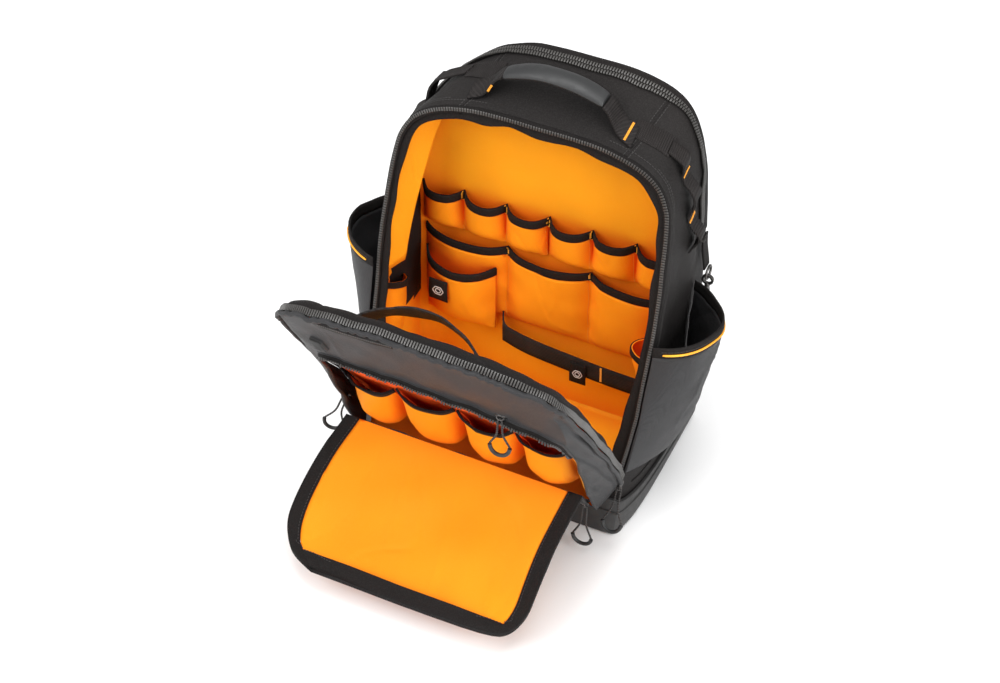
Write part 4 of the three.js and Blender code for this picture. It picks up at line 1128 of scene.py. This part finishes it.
def ring_mark(name, node, centre, radius):
    """A hexagon with a ring in it, pressed into a tag"""
    tag_tree = tree_of(sewn[node])
    centre = Vector(centre)
    threads = []
    for sides, reach in ((6, radius), (10, radius * 0.5)):
        corners = []
        for i in range(sides + 1):
            turn = 2 * math.pi * i / sides
            corner = centre + Vector((reach * math.cos(turn), -6, reach * math.sin(turn)))
            place, out = tag_tree.find_nearest(corner * MM)[:2]
            corners.append(place + out * 0.15 * MM)
        threads += list(zip(corners, corners[1:]))
    return capsules(name, threads, 0.55 * MM, PALE_THREAD, "tape", "body")


ring_mark("pocket_tag_mark", "pocket_tag", (-118, 41, 161), 6.5)
ring_mark("strap_tag_mark", "strap_tag", (52, 53, 89), 6)
hook_box = [Vector(corner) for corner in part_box("snap_hook")]
eye = (hook_box[0] + hook_box[1]) / 2
hook_line = [eye + Vector((0, y, z)) * MM for y, z in (
    (0, -5), (0.5, -8), (1, -12), (4.5, -15), (6.5, -21), (5.5, -28), (0, -32),
    (-5.5, -28), (-6.5, -22), (-5.5, -17))]
tube("hook_claw", smooth_line(hook_line, 4), 1.7 * MM, DARK_METAL, "dark_metal", "still")
gate = [eye + Vector((0, y, z)) * MM for y, z in ((-5.6, -16.5), (-3.5, -13.5), (0, -12))]
tube("hook_gate", smooth_line(gate, 3), 1.2 * MM, DARK_METAL, "dark_metal", "still")
collar = [eye + Vector((0, 0, z)) * MM for z in (-4.6, -6, -9, -10.4)]
tube("hook_swivel", collar, 3.1 * MM, DARK_METAL, "dark_metal", "still", sides=12)

boot_tree = tree_of(sewn["base_boot"])
boot_line = []
for side, depths in ((-1, (0.97, 0.7, 0.4, 0.1, 0)), (1, (0, 0.1, 0.4, 0.7, 0.97))):
    for depth in depths:
        forward = -6 if depth < 0.1 else 0
        away = Vector((side * 6, forward, 30 - 16 * depth)) * MM
        boot_line.append(body_point(side, 0, depth, 0) + away)
tube("boot_rib", laid_line(boot_tree, smooth_line(boot_line, 6), 5, 0.3), 1.3 * MM,
     BOOT, "moulded_base", "still")
print("hook hangs", round(32 + (hook_box[1].z - hook_box[0].z) * 500), "mm below its ring")

# %% [markdown]
# ## Padded back and shoulder straps
#
# Padding swells between its seams. Each pad is remeshed into even voxels and blown up a little by a
# cloth simulation with pressure and no gravity. The side that lies on the bag may not move, and the
# rest moves by a few millimetres at most. The sewn channels are pressed in afterwards.

# %% Swell the pads
def coordinates(mesh):
    flat = np.empty(len(mesh.vertices) * 3, dtype=np.float32)
    mesh.vertices.foreach_get("co", flat)
    return flat.reshape(-1, 3).astype(float)


def set_coordinates(mesh, points):
    mesh.vertices.foreach_set("co", points.astype(np.float32).ravel())
    mesh.update()


def swollen(piece, voxel, cap):
    remesh = piece.modifiers.new("voxels", "REMESH")
    remesh.mode = "VOXEL"
    remesh.voxel_size = voxel
    applied(piece)
    rest = coordinates(piece.data)
    cloth_solver = piece.modifiers.new("swell", "CLOTH")
    cloth_solver.settings.quality = 4
    cloth_solver.settings.use_pressure = True
    cloth_solver.settings.uniform_pressure_force = 4
    cloth_solver.settings.effector_weights.gravity = 0
    cloth_solver.collision_settings.use_collision = False
    cloth_solver.point_cache.frame_start, cloth_solver.point_cache.frame_end = 1, 20
    for frame_number in range(1, 21):
        scene.frame_set(frame_number)
    applied(piece)
    moved = coordinates(piece.data) - rest
    moved[:, 1] = np.maximum(moved[:, 1], 0)
    reach = np.linalg.norm(moved, axis=1, keepdims=True)
    moved *= np.minimum(1, cap / np.maximum(reach, 1e-9))
    set_coordinates(piece.data, rest + moved)
    scene.frame_set(1)
    rounding = piece.modifiers.new("rounding", "SUBSURF")
    rounding.levels = rounding.render_levels = 1
    applied(piece)
    piece.data.polygons.foreach_set("use_smooth", [True] * len(piece.data.polygons))


def press(piece, wall_y, lines, depth, width):
    """Presses sewn channels into the outer face; each line gives a distance for a point"""
    points = coordinates(piece.data)
    outer = np.clip((points[:, 1] - wall_y) / (8 * MM), 0, 1)
    for distance in lines:
        points[:, 1] -= outer * depth * np.exp(-(distance(points) / width) ** 2)
    set_coordinates(piece.data, points)


back_wall = BACK_Y * MM
swollen(sewn["back_panel"], 6 * MM, 5 * MM)
CHANNEL_LEVELS = (110, 200, 290, 380)
channels = [lambda p: p[:, 0]] + [
    lambda p, level=level: p[:, 2] - level * MM - 0.18 * np.abs(p[:, 0])
    for level in CHANNEL_LEVELS]
press(sewn["back_panel"], back_wall + 4 * MM, channels, 4 * MM, 7 * MM)
STRAP_ROUTE = ((46, 428, 151), (47, 410, 157), (52, 372, 163), (60, 318, 167),
               (70, 255, 166), (80, 200, 161), (83, 176, 159))
for label in ("left", "right"):
    strap_piece = sewn[f"shoulder_strap_{label}"]
    swollen(strap_piece, 5 * MM, 3 * MM)
    strap_tree = tree_of(strap_piece)
    side = -1 if label == "left" else 1
    for edge, shift in (("inner", -29), ("outer", 29)):
        line = smooth_line([Vector((side * x + shift, y + 12, z)) * MM
                            for x, z, y in STRAP_ROUTE], 4)
        stitches(f"strap_{label}_{edge}_stitches", strap_tree, [line],
                 BLACK_THREAD, "padding", "body", pitch=4)
    for z in (0.34, 0.25):
        press(strap_piece, 0.155, [lambda p, z=z: p[:, 2] - z], 2.5 * MM, 4 * MM)
print("the back panel has", len(sewn["back_panel"].data.vertices), "points")

# %% [markdown]
# ## Folds
#
# Cloth is never flat. If each piece had folds of its own, pieces that are sewn together would come
# apart. So one field of folds fills the space round the bag and bends whatever lies in it: cloth,
# stitches and teeth move together. It is a sum of sine waves in seeded directions, with sharper
# creases along some of their zero lines, and it fades out towards the stiff boot and the zips.

# %% Bend everything by one field of folds
def waves(points, wavelength, count, seed):
    rng = np.random.default_rng(seed)
    total = np.zeros(len(points))
    for _ in range(count):
        way = rng.normal(size=3)
        way *= 2 * math.pi / (np.linalg.norm(way) * wavelength * rng.uniform(0.75, 1.4))
        total += np.sin(points @ way + rng.uniform(0, 2 * math.pi))
    return total / math.sqrt(count / 2)


def creases(points, wavelength, seed, narrow=3.0):
    return np.clip(1 - np.abs(waves(points, wavelength, 7, seed)) * narrow, 0, 1) ** 2


def ramp(values, low, high):
    t = np.clip((values - low) / (high - low), 0, 1)
    return t * t * (3 - 2 * t)


def body_folds(p):
    x, y, z = p.T
    behind = y - (-0.0815 + 0.277 * z)
    side = ramp(np.abs(x), 0.11, 0.15)
    fade = ramp(z, 0.07, 0.15) * (0.25 + 0.75 * ramp(behind, 0.012, 0.06))
    fade *= 1 - 0.7 * ramp(y, 0.11, 0.128)
    tall = p * np.array([1, 1, 0.35])
    height = (0.6 + 1.5 * side) * waves(tall, 0.055, 8, 11) + 0.5 * waves(p, 0.04, 8, 12)
    height += (0.7 + 1.3 * side) * creases(tall, 0.11, 13) - 0.7 * creases(p, 0.1, 14)
    out = np.stack([x / 0.165, (y + 0.03) / 0.14, np.clip(z - 0.37, 0, 1) / 0.08], axis=1)
    out /= np.linalg.norm(out, axis=1, keepdims=True) + 0.15
    return out * (height * fade * MM)[:, None]


def door_folds(p):
    up = (p - np.array(DOOR_HINGE) * MM) @ np.array(UP_DOOR)
    height = 0.7 * waves(p, 0.09, 8, 21) + 0.45 * waves(p, 0.035, 8, 22)
    height += 0.9 * creases(p, 0.12, 23)
    off = (p - np.array(DOOR_HINGE) * MM) @ np.array(OFF_DOOR)
    full = ramp(off, 0.014, 0.024) * (1 - ramp(off, 0.028, 0.046))
    full *= 1 - ramp(np.abs(p[:, 0]), 0.134, 0.142)
    full *= ramp(up, 0.058, 0.066) * (1 - ramp(up, 0.09, 0.13))
    moved = np.outer((height * ramp(up, 0.01, 0.07) + 4 * full) * MM, np.array(OFF_DOOR))
    pleats = (2.0 + 0.7 * waves(p, 0.06, 6, 24)) * np.sin(2 * math.pi * (off - 0.06 * up) / 0.015)
    pleats *= ramp(np.abs(p[:, 0]), 0.118, 0.136) * ramp(off, 0.008, 0.014) * ramp(up, 0.012, 0.05)
    moved[:, 0] += np.sign(p[:, 0]) * pleats * MM
    return moved


def flap_folds(p):
    away = ramp(-p[:, 1], 0.132, 0.19)
    along = p * np.array([1, 0.45, 1])
    height = 1.6 * waves(p, 0.12, 7, 31) + 0.9 * waves(along, 0.05, 8, 32)
    height += 1.5 * creases(along, 0.13, 33) - 1.1 * creases(p, 0.12, 34)
    return np.outer(height * away * MM, np.array((0, -0.41, 0.91)))


def frame_waves(p):
    """Small waves in the free inner edge of the tape round the opening"""
    arch = np.array(smooth_line([front_point(x, z, 0) for x, z in ARCH], 6))
    nearest = arch[np.linalg.norm(p[:, None] - arch[None], axis=2).argmin(axis=1)]
    inward = p - nearest
    reach = np.linalg.norm(inward, axis=1)
    share = ramp(reach, 8 * MM, 14 * MM) * (waves(p, 0.035, 6, 51) - 3) * MM
    return inward / np.maximum(reach, 1e-6)[:, None] * share[:, None]


FOLDS = {"body": body_folds, "door": door_folds, "flap": flap_folds}
DOOR_PIECES = ("door_", "tray_base", "tool_pocket")
STILL_PIECES = ("base_boot", "hook_ring", "snap_hook", "hook_tab")
for node, piece in sewn.items():
    group = "door" if node.startswith(DOOR_PIECES) else "flap" if "flap" in node else "body"
    cloth_groups[piece.name] = "still" if node in STILL_PIECES else group
frame_points = coordinates(sewn["front_frame"].data)
set_coordinates(sewn["front_frame"].data, frame_points + frame_waves(frame_points))
largest = 0
for name, group in cloth_groups.items():
    if group in FOLDS:
        mesh = bpy.data.objects[name].data
        points = coordinates(mesh)
        move = FOLDS[group](points)
        largest = max(largest, float(np.abs(move).max()))
        set_coordinates(mesh, points + move)
print("the largest fold moves the cloth by", round(largest * 1000, 1), "mm")
